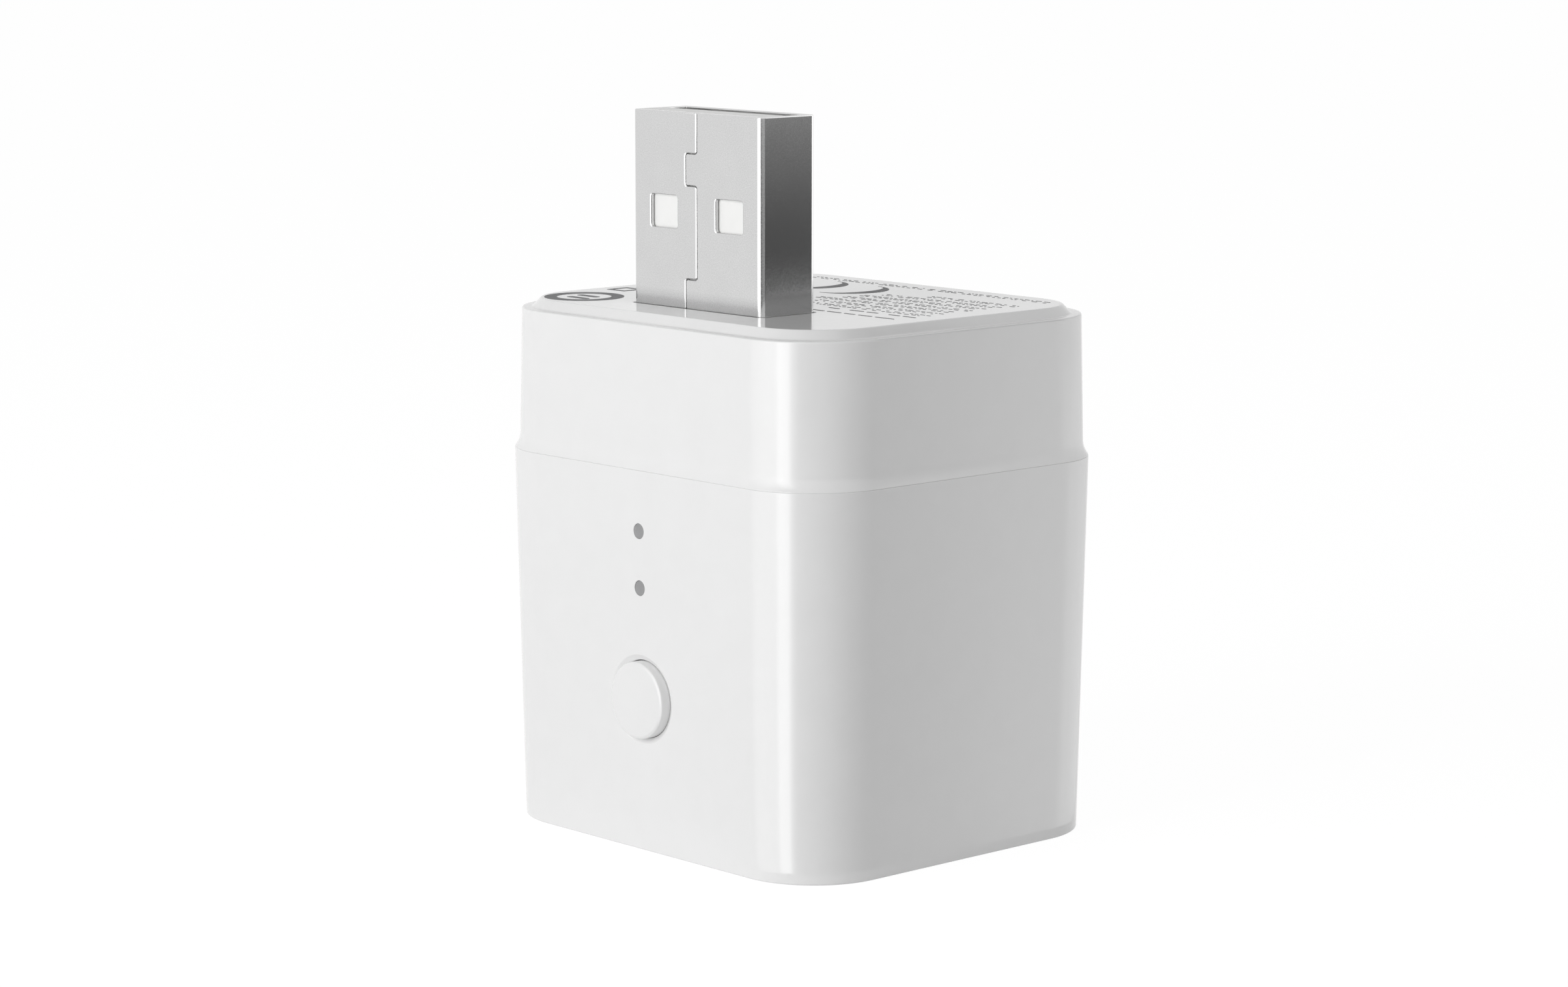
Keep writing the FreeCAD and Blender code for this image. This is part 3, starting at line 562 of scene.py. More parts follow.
@dataclass(frozen=True)
class BoardLaminate:
    """Glass laminate under a coloured solder mask, with copper tracks that show through it."""

    name: str
    mask: Colour
    track: Colour  # the colour of the mask over a track
    pitch: float = 1.3  # the distance between tracks
    track_edge: Span = (0.1, 0.06)  # how far from the middle of a track its edge starts and ends
    track_depth: float = 0.03
    weave: float = 0.18  # the width of a thread of the glass
    weave_depth: float = 0.0015
    weave_shade: float = 0.12  # how far the weave shows in the mask, as a share
    roughness: float = 0.35

    def material(self) -> Material:
        """Lays out the material.

        Returns:
            The material.
        """
        shading = Shading(self.name)
        cells = shading.add("TexVoronoi", {"Vector": shading.spaced(self.pitch), "Scale": 1.0}, "Distance",
                            distance="CHEBYCHEV", feature="DISTANCE_TO_EDGE")
        tracks = shading.spread(cells, (0.0, 1.0), *self.track_edge)
        weave = shading.noise(self.weave, detail=1.0)
        ground = shading.tinted(weave, shaded(self.mask, -self.weave_shade), shaded(self.mask, self.weave_shade))
        woven = shading.relief(weave, self.weave_depth)
        return shading.surface(shading.tinted(tracks, ground, shaded(self.track, 0.0)), self.roughness,
                               shading.relief(tracks, self.track_depth, Strength=0.6, Normal=woven), IOR=1.5)


@dataclass(frozen=True)
class MattCoat:
    """A dull surface with one fine grain in its colour, roughness and relief, such as ink or a cut end."""

    name: str
    colour: Colour
    roughness: float
    wear: float  # how far its roughness strays, as a share
    grain: float
    detail: float  # how many finer layers the grain has
    depth: float
    shades: Span  # how far its colour strays either way, as shares
    refraction: float
    clear: float = 0.0  # how much light goes through

    def material(self) -> Material:
        """Lays out the material.

        Returns:
            The material.
        """
        shading = Shading(self.name)
        frost = shading.noise(self.grain, self.detail)
        return shading.surface(
            shading.tinted(frost, *(shaded(self.colour, shade) for shade in self.shades)),
            shading.worn(frost, self.roughness, self.wear), shading.relief(frost, self.depth),
            **{"IOR": self.refraction, "Transmission Weight": self.clear})


Finish = MouldedPlastic | PlatedMetal | BoardLaminate | MattCoat

WHITE_PLASTIC = MouldedPlastic("white_plastic", (0.83, 0.83, 0.83), roughness=0.12, refraction=1.52,
                               cloud=0.008, grain=0.1, depth=0.0001)
# The plug steel carries painted shade on the foot of its front.
PLUG_STEEL = PlatedMetal("satin_nickel", (0.675, 0.675, 0.675), roughness=0.15, grain=0.07, depth=0.0005,
                         cloud=0.012, speck=0.1, foot=(34.7, 33.6), painted_foot_shade=0.27)
SOCKET_STEEL = PlatedMetal("socket_nickel", (0.64, 0.64, 0.63), roughness=0.3, direction=Grain.ACROSS_PLUG,
                           grain=0.06)
INSULATOR_PLASTIC = MouldedPlastic("insulator_plastic", (0.84, 0.84, 0.83), roughness=0.4, cloud=0.015,
                                   grain=0.15, depth=0.001)
GOLD = PlatedMetal("gold_on_nickel", (0.83, 0.62, 0.28), roughness=0.22, direction=Grain.ALONG_PLUG)
TIN = PlatedMetal("tinned_copper", (0.62, 0.62, 0.6), roughness=0.34)
SPRING_STEEL = PlatedMetal("stamped_steel", (0.58, 0.58, 0.57), roughness=0.3, cloud=0.06)
SHIELD_STEEL = PlatedMetal("pressed_shield", (0.66, 0.66, 0.64), roughness=0.26, direction=Grain.ALONG_PLUG)
CAN_ALUMINIUM = PlatedMetal("drawn_aluminium", (0.76, 0.76, 0.77), roughness=0.24, direction=Grain.FRONT_TO_BACK)
SWITCH_PLASTIC = MouldedPlastic("switch_plastic", (0.03, 0.03, 0.033), roughness=0.45, cloud=0.1)
CHIP_EPOXY = MouldedPlastic("chip_epoxy", (0.025, 0.025, 0.027), roughness=0.5, cloud=0.15, grain=0.06,
                            depth=0.002)
MAIN_LAMINATE = BoardLaminate("main_laminate", (0.02, 0.12, 0.045), (0.05, 0.22, 0.08))
RADIO_LAMINATE = BoardLaminate("radio_laminate", (0.012, 0.04, 0.16), (0.03, 0.09, 0.26), pitch=0.9)
FUSE_PLASTIC = MouldedPlastic("fuse_plastic", (0.02, 0.09, 0.045), roughness=0.4, cloud=0.08)
CERAMIC = MouldedPlastic("sintered_ceramic", (0.36, 0.23, 0.11), roughness=0.42, cloud=0.1, grain=0.08,
                         depth=0.0015)
LAMP_PLASTIC = MouldedPlastic("lamp_plastic", (0.78, 0.72, 0.5), roughness=0.22, cloud=0.04)
ROD_PLASTIC = MattCoat("smoked_rod", (0.32, 0.32, 0.325), roughness=0.35, wear=0.2, grain=0.12, detail=4.0,
                       depth=0.0015, shades=(-0.08, 0.08), refraction=1.49, clear=0.12)
GREY_INK = MattCoat("grey_ink", (0.17, 0.17, 0.175), roughness=0.6, wear=0.1, grain=0.09, detail=3.0,
                    depth=0.001, shades=(-0.2, 0.25), refraction=1.3)


@cache
def material_of(finish: Finish) -> Material:
    """Makes the material of a finish at the first call, and gives the same one later."""
    return finish.material()


def dress(thing: Thing, finish: Finish) -> Thing:
    """Puts a finish on every slot of an object.

    Args:
        thing: The object.
        finish: The finish.

    Returns:
        The object.
    """
    if not thing.material_slots:
        thing.data.materials.append(material_of(finish))
    for holder in thing.material_slots:
        holder.material = material_of(finish)
    return thing


def dress_nodes(finish: Finish, *nodes: str) -> list[Thing]:
    """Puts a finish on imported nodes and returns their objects."""
    return [dress(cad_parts[node], finish) for node in nodes]


def settle(thing: Thing, finish: Finish, slot: str | None = None, *stands_for: str,
           body: Body = Body.HOUSING) -> Thing:
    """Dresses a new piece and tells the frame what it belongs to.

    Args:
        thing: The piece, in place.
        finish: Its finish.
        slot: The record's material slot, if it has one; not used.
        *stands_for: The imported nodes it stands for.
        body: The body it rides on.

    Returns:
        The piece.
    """
    dress(thing, finish)
    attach(thing, body.value)
    if stands_for:
        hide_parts(*stands_for)
    return thing


# Sub-assemblies

SEAM = Ring(31.1, 27.1, 5.5, 24.0, soft=0.06)
BASE = Ring(30.2, 26.3, 5.3, 0.0, soft=0.12)
WALL = 1.5
PLATEAU_Z = 33.56
LIGHT_HEIGHTS = {"lower": 16.64, "upper": 20.21}
HOLD_Y = (-5.285, -1.885)  # the limits of the rails and clips that hold the board
GROOVE_Y = (-4.285, -2.885)  # the limits of the board's groove in them


def front_wall(z: float, depth: float = 0.0) -> Point3:
    """Finds the place at a height that lies a depth behind the outside of the leaning front wall."""
    return 0.0, -(BASE.depth / 2 + (SEAM.depth - BASE.depth) / 2 * z / SEAM.z) + depth, z


def board_holders(x: Span, z: Span, groove_x: Span, groove_z: Span) -> Work:
    """Makes a grooved pad for each edge of the board.

    Args:
        x: The limits of the right pad along X.
        z: Its limits along Z.
        groove_x: The limits of its groove along X.
        groove_z: The limits of its groove along Z.

    Returns:
        The work in order.
    """
    pad, groove = (Joining.FUSE, x, HOLD_Y, z), (Joining.CUT, groove_x, GROOVE_Y, groove_z)
    return [(how, Prism.block(tuple(sorted((side * across[0], side * across[1]))), y, up))
            for side in (-1, 1) for how, across, y, up in (pad, groove)]


@dataclass
class HousingCup:
    """The cup from the base to the joint line, with its openings, rails, collar and rod holder."""

    mouth: Ring = Ring(28.1, 24.1, 4.0, 24.0)
    inner_floor: Ring = Ring(27.256, 23.35, 3.81, 1.5)
    socket_hole: Ring = Ring(13.5, 6.12, 0.8, 1.5, -0.125)
    socket_mouth: Ring = Ring(14.1, 6.72, 1.1, 0.0, -0.125, soft=0.05)
    lead_in: float = 0.3
    collar_wall: float = 0.8
    collar_clearance: float = 0.02
    collar_top: float = 3.5
    button_z: float = 9.62
    dish: Profile = ((2.85, 0.0), (2.815, 0.01), (2.785, 0.03), (2.52, 0.205), (2.485, 0.235),
                     (2.463, 0.27), (2.453, 0.31), (2.45, 0.36))
    dish_depth: float = 2.2
    light_lip: Profile = ((0.5, 0.0), (0.489, 0.006), (0.482, 0.016), (0.48, 0.035))
    light_depth: float = 2.0
    light_bore: float = 0.93
    bore_depth: float = 4.0
    holder_width: float = 3.0
    holder_corner: float = 1.2
    holder_length: float = 2.6
    rail: Span = (11.7, 14.5)
    rail_groove: Span = (11.2, 12.6)
    rail_top: float = 15.0

    def cup(self) -> Loft:
        """Makes the walls and the floor, open at the top and round the socket."""
        low_hole = replace(self.socket_hole, z=self.lead_in)
        return Loft((self.socket_mouth, BASE, SEAM, self.mouth, self.inner_floor, self.socket_hole, low_hole))

    def collar(self) -> Work:
        """Makes the low wall round three sides of the socket.

        Returns:
            The work in order.
        """
        foot = self.inner_floor.z - PAST
        inner = self.socket_hole.inset(-self.collar_clearance, foot, self.socket_hole.corner)
        outer = inner.inset(-self.collar_wall, foot, inner.corner + self.collar_wall)
        high = (replace(ring, z=self.collar_top) for ring in (outer, inner))
        ring = Loft((inner, outer, *high), corner_steps=8)
        reach = outer.width / 2 + PAST
        front = Prism.block((-reach, reach), (HOLD_Y[0], GROOVE_Y[1]), (self.inner_floor.z, self.collar_top + PAST))
        return [(Joining.FUSE, ring), (Joining.CUT, front)]

    def rod_holder(self) -> Work:
        """Makes the block behind the front wall that holds the light rods, with its bores.

        Returns:
            The work in order.
        """
        low, high = LIGHT_HEIGHTS.values()
        front, rear = front_wall(high, WALL / 2)[1], front_wall(low, WALL + self.holder_length)[1]
        outline = Ring(self.holder_width, high - low + self.holder_width, self.holder_corner, 0.0, (low + high) / 2)
        points = tuple((point.x, front, point.y) for point in outline.points(steps=8))
        bore = ((0.0, 0.0), (self.light_bore, 0.0), (self.light_bore, self.bore_depth), (0.0, self.bore_depth))
        return [(Joining.FUSE, Prism(points, (0.0, rear - front, 0.0))), *(
            (Joining.CUT, Turning(bore, front_wall(z, WALL), segments=48)) for z in (low, high))]

    def opening(self, rim: Profile, depth: float) -> Profile:
        """Gives the half section of an opening with a shaped rim that is cut from outside the wall."""
        return ((0.0, -PAST), (rim[0][0], -PAST), *rim, (rim[-1][0], depth), (0.0, depth))

    def openings(self) -> Work:
        """Makes the dished hole of the button and the two small holes of the lights.

        Returns:
            The work in order.
        """
        inward = (0.0, SEAM.z, (SEAM.depth - BASE.depth) / 2)
        dish = Turning(self.opening(self.dish, self.dish_depth), front_wall(self.button_z), inward, segments=128)
        hole = self.opening(self.light_lip, self.light_depth)
        return [(Joining.CUT, dish), *(
            (Joining.CUT, Turning(hole, front_wall(z), segments=64)) for z in LIGHT_HEIGHTS.values())]

    def build(self) -> list[Thing]:
        """Makes and dresses the cup.

        Returns:
            Its one piece.
        """
        floor, top = self.inner_floor.z, self.rail_top
        rails = board_holders(self.rail, (floor - PAST, top), self.rail_groove, (floor, top + PAST))
        thing = shaped("housing_cup", self.cup(), self.collar() + rails + self.rod_holder() + self.openings())
        return [settle(thing, WHITE_PLASTIC, "housing_white", "lower_housing")]


@dataclass
class TopCover:
    """The cover: swept foot, near-vertical wall, ledge, bevel and plateau, with its skirt and clips."""

    flare_inset: float = 0.25
    flare_height: float = 0.95
    flare_steps: int = 8
    rim_inset: float = 0.35
    rim_corner: float = 5.6
    rim_z: float = 32.98
    rim_soft: float = 0.13
    ledge_width: float = 0.65
    ledge_soft: float = 0.1
    plateau_inset: float = 1.2
    plateau_soft: float = 0.1
    slot: Ring = Ring(12.4, 4.86, 0.57, PLATEAU_Z, -6.435, soft=0.04)
    roof: Ring = Ring(27.4, 23.4, 4.1, PLATEAU_Z - WALL)
    hollow_foot: Ring = Ring(27.6, 23.6, 4.0, 25.6)
    skirt_inner: Ring = Ring(26.1, 22.1, 3.0, 25.6)
    skirt_outer: Ring = Ring(27.9, 23.9, 3.9, 24.0)
    skirt_bottom: float = 22.0
    root: float = 0.4  # how far the beads and clips reach into what they stand on
    bead_length: float = 6.0
    bead_reach: float = 0.35
    bead_height: float = 0.7
    bead_z: float = 23.1
    clip: Span = (8.2, 10.2)
    clip_low: float = 30.76
    clip_groove: Span = (7.9, 10.5)
    clip_groove_z: Span = (30.46, 31.76)

    def flare(self) -> list[Ring]:
        """Sweeps the foot in a round line from just above the joint line to the wall.

        Returns:
            The foot as rings.
        """
        radius = (self.flare_inset ** 2 + self.flare_height ** 2) / (2 * self.flare_inset)
        rings = []
        for step in range(1, self.flare_steps + 1):
            rise = self.flare_height * step / self.flare_steps
            inset = self.flare_inset - radius + math.sqrt(radius ** 2 - (self.flare_height - rise) ** 2)
            rings.append(SEAM.inset(inset, SEAM.z + rise, SEAM.corner))
        return rings

    def outside(self) -> list[Ring]:
        """Gives the outer form from the joint line to the slot of the plug.

        Returns:
            The form as rings.
        """
        rim = SEAM.inset(self.rim_inset, self.rim_z, self.rim_corner, self.rim_soft)
        ledge = rim.inset(self.ledge_width, self.rim_z, self.rim_corner - self.ledge_width, self.ledge_soft)
        plateau = rim.inset(self.plateau_inset, PLATEAU_Z, self.rim_corner - self.plateau_inset, self.plateau_soft)
        return [SEAM, *self.flare(), rim, ledge, plateau, self.slot]

    def inside(self) -> list[Ring]:
        """Gives the inner form from the slot of the plug to the outer face of the skirt.

        Returns:
            The form as rings.
        """
        low = (replace(ring, z=self.skirt_bottom) for ring in (self.skirt_inner, self.skirt_outer))
        return [replace(self.slot, z=self.roof.z, soft=0.0), self.roof, self.hollow_foot, self.skirt_inner, *low,
                self.skirt_outer]

    def beads(self) -> Work:
        """Makes the four wedges of the snap joint.

        Returns:
            The work in order.
        """
        half = self.bead_height / 2
        work = []
        for number in range(4):
            turn = Matrix.Rotation(number * math.pi / 2, 3, "Z")
            face = (self.skirt_outer.depth if number % 2 else self.skirt_outer.width) / 2
            profile = ((face - self.root, -half), (face, -half), (face + self.bead_reach, 0.0), (face, half),
                       (face - self.root, half))
            outline = tuple(turn @ Vector((out, -self.bead_length / 2, self.bead_z + rise)) for out, rise in profile)
            work.append((Joining.FUSE, Prism(outline, turn @ Vector((0.0, self.bead_length, 0.0)))))
        return work

    def build(self) -> list[Thing]:
        """Makes and dresses the cover.

        Returns:
            Its one piece.
        """
        clips = board_holders(self.clip, (self.clip_low, self.roof.z + self.root), self.clip_groove,
                              self.clip_groove_z)
        thing = shaped("cover_body", Loft((*self.outside(), *self.inside())), self.beads() + clips)
        return [settle(thing, WHITE_PLASTIC, "cover_white", "top_cover")]


@dataclass
class PushButton:
    """The round cap with its flange and stem, and the tactile switch behind it."""

    front_y: float = -13.8103
    centre_z: float = 9.605
    radius: float = 2.42
    edge_run: tuple[Point2, ...] = (  # the slope in degrees and the length of each piece of the eased edge
        (7.0, 0.012), (14.0, 0.012), (20.0, 0.022), (24.0, 0.036), (28.0, 0.046), (33.0, 0.03), (40.0, 0.02),
        (50.0, 0.02), (60.0, 0.02), (70.0, 0.02), (80.0, 0.02))
    flange: Span = (-11.6603, -10.9603)
    flange_radius: float = 3.1
    stem_radius: float = 1.4
    stem_tip: float = -9.185

    def profile(self) -> Profile:
        """Lays out the half section of the cap.

        Returns:
            Its (radius, y) points.
        """
        steps = [rect(length, math.radians(slope)) for slope, length in self.edge_run]
        edge = accumulate(steps, initial=complex(self.radius - sum(steps).real, self.front_y))
        return ((0.0, self.front_y), *((point.real, point.imag) for point in edge), (self.radius, self.flange[0]),
                (self.flange_radius, self.flange[0]), (self.flange_radius, self.flange[1]),
                (self.stem_radius, self.flange[1]), (self.stem_radius, self.stem_tip), (0.0, self.stem_tip))

    def build(self) -> list[Thing]:
        """Makes and dresses the cap and dresses the switch.

        Returns:
            The pieces.
        """
        cap = shaped("button_form", Turning(self.profile(), (0.0, 0.0, self.centre_z), segments=128))
        return [settle(cap, WHITE_PLASTIC, "button_white", "button_cap", body=Body.BUTTON),
                *dress_nodes(SWITCH_PLASTIC, "switch_plunger", "switch_body"),
                *dress_nodes(SPRING_STEEL, "switch_frame"), *dress_nodes(TIN, "switch_terminals")]


@dataclass
class StatusLights:
    """The two light rods with their dished tips, and the lamps and resistors behind them."""

    tip_recess: float = 0.05
    tip_dish: float = 0.05
    tip_radius: float = 0.46
    dish_steps: int = 8
    shoulder: float = 1.52
    radius: float = 0.9
    rear: float = -4.985

    def profile(self, wall_y: float) -> Profile:
        """Lays out the half section of a rod.

        Args:
            wall_y: Where the outside of the wall is at its height.

        Returns:
            Its (radius, y) points, from the middle of the tip to the rear end.
        """
        shares = [step / self.dish_steps for step in range(self.dish_steps + 1)]
        tip = [(self.tip_radius * share, wall_y + self.tip_recess + self.tip_dish * (1.0 - share ** 2))
               for share in shares]
        shoulder = wall_y + self.shoulder
        return (*tip, (self.tip_radius, shoulder), (self.radius, shoulder), (self.radius, self.rear), (0.0, self.rear))

    def build(self) -> list[Thing]:
        """Makes and dresses the rods and dresses the lamps and resistors.

        Returns:
            The pieces.
        """
        pieces = []
        for level, z in LIGHT_HEIGHTS.items():
            rod = shaped(f"{level}_rod_form", Turning(self.profile(front_wall(z)[1]), (0.0, 0.0, z), segments=64))
            pieces.append(settle(rod, ROD_PLASTIC, "light_grey", f"{level}_light_rod"))
            pieces += dress_nodes(LAMP_PLASTIC, f"{level}_status_lamp")
        return pieces + dress_nodes(CHIP_EPOXY, "lamp_resistors")


@dataclass
class Connector:
    """A steel sleeve with its moulded core and four gold-plated strips."""

    kind: str
    steel: PlatedMetal
    sleeve_edge: float = 0.08
    core_edge: float = 0.04
    strips: tuple[str, ...] = ("power", "data_minus", "data_plus", "ground")

    def build(self) -> list[Thing]:
        """Softens and dresses the sleeve and the core and dresses the strips.

        Returns:
            The pieces.
        """
        shell, insulator = f"{self.kind}_shell", f"{self.kind}_insulator"
        sleeve = softened_copy(shell, f"{self.kind}_sleeve", self.sleeve_edge)
        core = softened_copy(insulator, f"{self.kind}_core", self.core_edge)
        return [settle(sleeve, self.steel, f"{self.kind}_steel", shell),
                settle(core, INSULATOR_PLASTIC, "insulator_white", insulator),
                *dress_nodes(GOLD, *(f"{self.kind}_contact_{strip}" for strip in self.strips))]


@dataclass
class Electronics:
    """The two boards and the packages on them."""

    finishes: tuple[tuple[Finish, tuple[str, ...]], ...] = (
        (MAIN_LAMINATE, ("main_board",)),
        (RADIO_LAMINATE, ("radio_board",)),
        (SHIELD_STEEL, ("radio_shield",)),
        (CHIP_EPOXY, ("radio_chip", "power_switch_body", "regulator_body", "input_capacitor_base")),
        (GOLD, ("antenna_trace",)),
        (TIN, ("power_switch_leads", "regulator_leads")),
        (CAN_ALUMINIUM, ("input_capacitor_can",)),
        (FUSE_PLASTIC, ("resettable_fuse",)),
        (CERAMIC, ("output_capacitor",)),
    )

    def build(self) -> list[Thing]:
        """Dresses the boards and packages and returns them."""
        return [thing for finish, nodes in self.finishes for thing in dress_nodes(finish, *nodes)]


@dataclass(frozen=True)
class DashRow:
    """Printed dashes along X, in two lines close together."""

    start: float
    end: float
    y: float
    height: float = 0.115
    shortest: float = 0.12
    longest: float = 0.5
    gap: float = 0.16  # the smallest gap between dashes
    spread: float = 0.44  # the distance between its two lines


@dataclass(frozen=True)
class Round:
    """A printed ring, or a square or crescent that is laid out in the same way."""

    x: float
    y: float
    outer: float  # its outer radius
    inner: float  # its inner radius, for a crescent where it is widest
    steps: int
    turn: float = 0.0  # the direction of its first corner, in degrees

    def loop(self, radius: float) -> list[Vector]:
        """Lays out the full turn of an outline.

        Args:
            radius: The radius of the outline.

        Returns:
            Its points.
        """
        angles = [math.radians(self.turn) + 2 * math.pi * number / self.steps for number in range(self.steps)]
        return [Vector((self.x + radius * math.cos(angle), self.y + radius * math.sin(angle), PLATEAU_Z))
                for angle in angles]

    def crescent(self) -> list[Vector]:
        """Lays out a crescent that runs out to a tip at both ends, open towards -X.

        Returns:
            The points of its outline.
        """
        angles = [math.pi * (number / self.steps - 0.5) for number in range(self.steps + 1)]
        sides = [(self.outer, angle) for angle in angles] + [(self.inner, angle) for angle in angles[-2:0:-1]]
        return [Vector((self.x + radius * math.cos(angle), self.y + self.outer * math.sin(angle), PLATEAU_Z))
                for radius, angle in sides]


@dataclass
class PlateauPrint:
    """The plain printed marks on the plateau: a ring, crescents, an open square, bars and rows of dashes."""

    thickness: float = 0.012
    cut_corner: float = 0.25  # how much of a dash's height its corners lose
    gap_lengths: tuple[float, ...] = (1.0, 1.0, 1.6, 3.2)  # gaps in multiples of a row's smallest gap
    seed: int = 7
    ring: Round = Round(-10.6, -8.9, 2.55, 1.75, 72)
    square: Round = Round(-12.1, -4.2, 1.2, 0.8, 4, 45.0)
    crescents: tuple[Round, ...] = (Round(-6.4, 6.7, 2.6, 1.7, 40), Round(-2.35, 6.5, 2.6, 1.7, 40))
    bars: tuple[tuple[float, float, float, float], ...] = ((-11.6, -9.7, -8.5, 0.5), (-11.3, -9.4, -9.6, 0.5))
    rows: tuple[DashRow, ...] = (
        DashRow(4.6, 12.3, -2.5, height=0.17, shortest=0.9, longest=1.7, gap=0.3, spread=1.5),
        DashRow(1.6, 12.2, -0.6),
        DashRow(0.9, 12.0, 0.7),
        DashRow(-0.4, 11.6, 2.0),
        DashRow(0.7, 12.2, 3.3),
        DashRow(0.9, 11.8, 4.6),
        DashRow(1.6, 12.1, 5.9),
        DashRow(4.4, 12.2, 7.2),
        DashRow(-9.6, 12.0, 10.2),
    )

    def band(self, mesh: Mesh, mark: Round) -> None:
        """Adds a ring or an open square.

        Args:
            mesh: The mesh that gets the faces.
            mark: The ring or square.
        """
        outer, inner = mark.loop(mark.outer), mark.loop(mark.inner)
        lift = Vector((0.0, 0.0, self.thickness))
        loops = [[mesh.verts.new(point) for point in outline] for outline in (
            outer, inner, [point + lift for point in inner], [point + lift for point in outer])]
        skin(mesh, loops + loops[:1])

    def plate(self, mesh: Mesh, outline: Iterable[Vector]) -> None:
        """Adds a thin plate with an outline."""
        Prism(tuple(outline), (0.0, 0.0, self.thickness)).write(mesh)

    def dash(self, mesh: Mesh, start: float, end: float, y: float, height: float) -> None:
        """Adds a dash with cut corners.

        Args:
            mesh: The mesh that gets the faces.
            start: Where it starts along X.
            end: Where it ends along X.
            y: Its middle along Y.
            height: Its height.
        """
        half, cut = height / 2, self.cut_corner * height
        corners = ((start, y - half + cut), (start + cut, y - half), (end - cut, y - half), (end, y - half + cut),
                   (end, y + half - cut), (end - cut, y + half), (start + cut, y + half), (start, y + half - cut))
        self.plate(mesh, (Vector((*corner, PLATEAU_Z)) for corner in corners))

    def dashes(self, mesh: Mesh, row: DashRow, dice: random.Random) -> None:
        """Fills a row with dashes of many lengths.

        Args:
            mesh: The mesh that gets the faces.
            row: The row.
            dice: Where the lengths come from.
        """
        for side in (-0.5, 0.5):
            x = row.start
            while x + row.shortest <= row.end:
                length = min(dice.uniform(row.shortest, row.longest), row.end - x)
                self.dash(mesh, x, x + length, row.y + side * row.spread, row.height)
                x += length + row.gap * dice.choice(self.gap_lengths)

    def build(self) -> list[Thing]:
        """Makes and dresses the marks.

        Returns:
            Their one piece.
        """
        mesh = bmesh.new()
        dice = random.Random(self.seed)
        self.band(mesh, self.ring)
        for crescent in self.crescents:
            self.plate(mesh, crescent.crescent())
        for bar in self.bars:
            self.dash(mesh, *bar)
        self.band(mesh, self.square)
        for row in self.rows:
            self.dashes(mesh, row, dice)
        bmesh.ops.recalc_face_normals(mesh, faces=mesh.faces[:])
        bmesh.ops.scale(mesh, vec=Vector((MILLIMETRE,) * 3), verts=mesh.verts[:])
        return [settle(placed("plateau_marks", mesh), GREY_INK)]


# Studio

CAMERA_TURN = 47.573  # the direction of the camera, in degrees from -Y towards +X
CORNER_RADIUS = 5.6  # the radius of the corners in which the camera sees the graded card


def toned_card(name: str, grid: Sequence[Sequence[tuple[Vector, float]]]) -> Thing:
    """Makes a card whose tones shine, and which is seen by shiny parts only.

    Args:
        name: The name of the card.
        grid: Columns of points in millimetres, each with its tone: 0 for black, 1 for white and more for a lamp.

    Returns:
        The card.
    """
    mesh = bmesh.new()
    columns = [[mesh.verts.new(place * MILLIMETRE) for place, _ in column] for column in grid]
    for near, far in zip(columns, columns[1:]):
        for row in range(len(near) - 1):
            mesh.faces.new((near[row], far[row], far[row + 1], near[row + 1]))
    card = placed(name, mesh)
    card.data.attributes.new("tone", "FLOAT", "POINT").data.foreach_set("value", [
        tone for column in grid for _, tone in column])
    card.visible_camera = card.visible_diffuse = card.visible_shadow = card.visible_transmission = False
    shading = Shading(name)
    tone = shading.add("Attribute", {}, "Fac", attribute_name="tone")
    return shading.stage(card, shading.add("Emission", {"Strength": tone}))


@dataclass(frozen=True)
class Strip:
    """A straight strip of a graded card, from the object outwards."""

    x: float
    y: float
    direction: float  # where it leads, in degrees from -Y towards +X
    low: float  # the tone of its part on the floor and of its lowest part that stands up
    high: float  # the tone of the part above that; 0 is black, 1 is white, and a lamp is brighter

    @classmethod
    def from_corner(cls, corner: Point2, direction: float, *tones: float) -> Strip:
        """Makes the strip that the camera sees reflected at one place of a round corner.

        Args:
            corner: The middle of the corner's round.
            direction: Where the strip leads.
            *tones: Its low and its high tone.

        Returns:
            The strip.
        """
        facing = math.radians((direction + CAMERA_TURN) / 2)
        return cls(corner[0] + CORNER_RADIUS * math.sin(facing), corner[1] - CORNER_RADIUS * math.cos(facing),
                   direction, *tones)


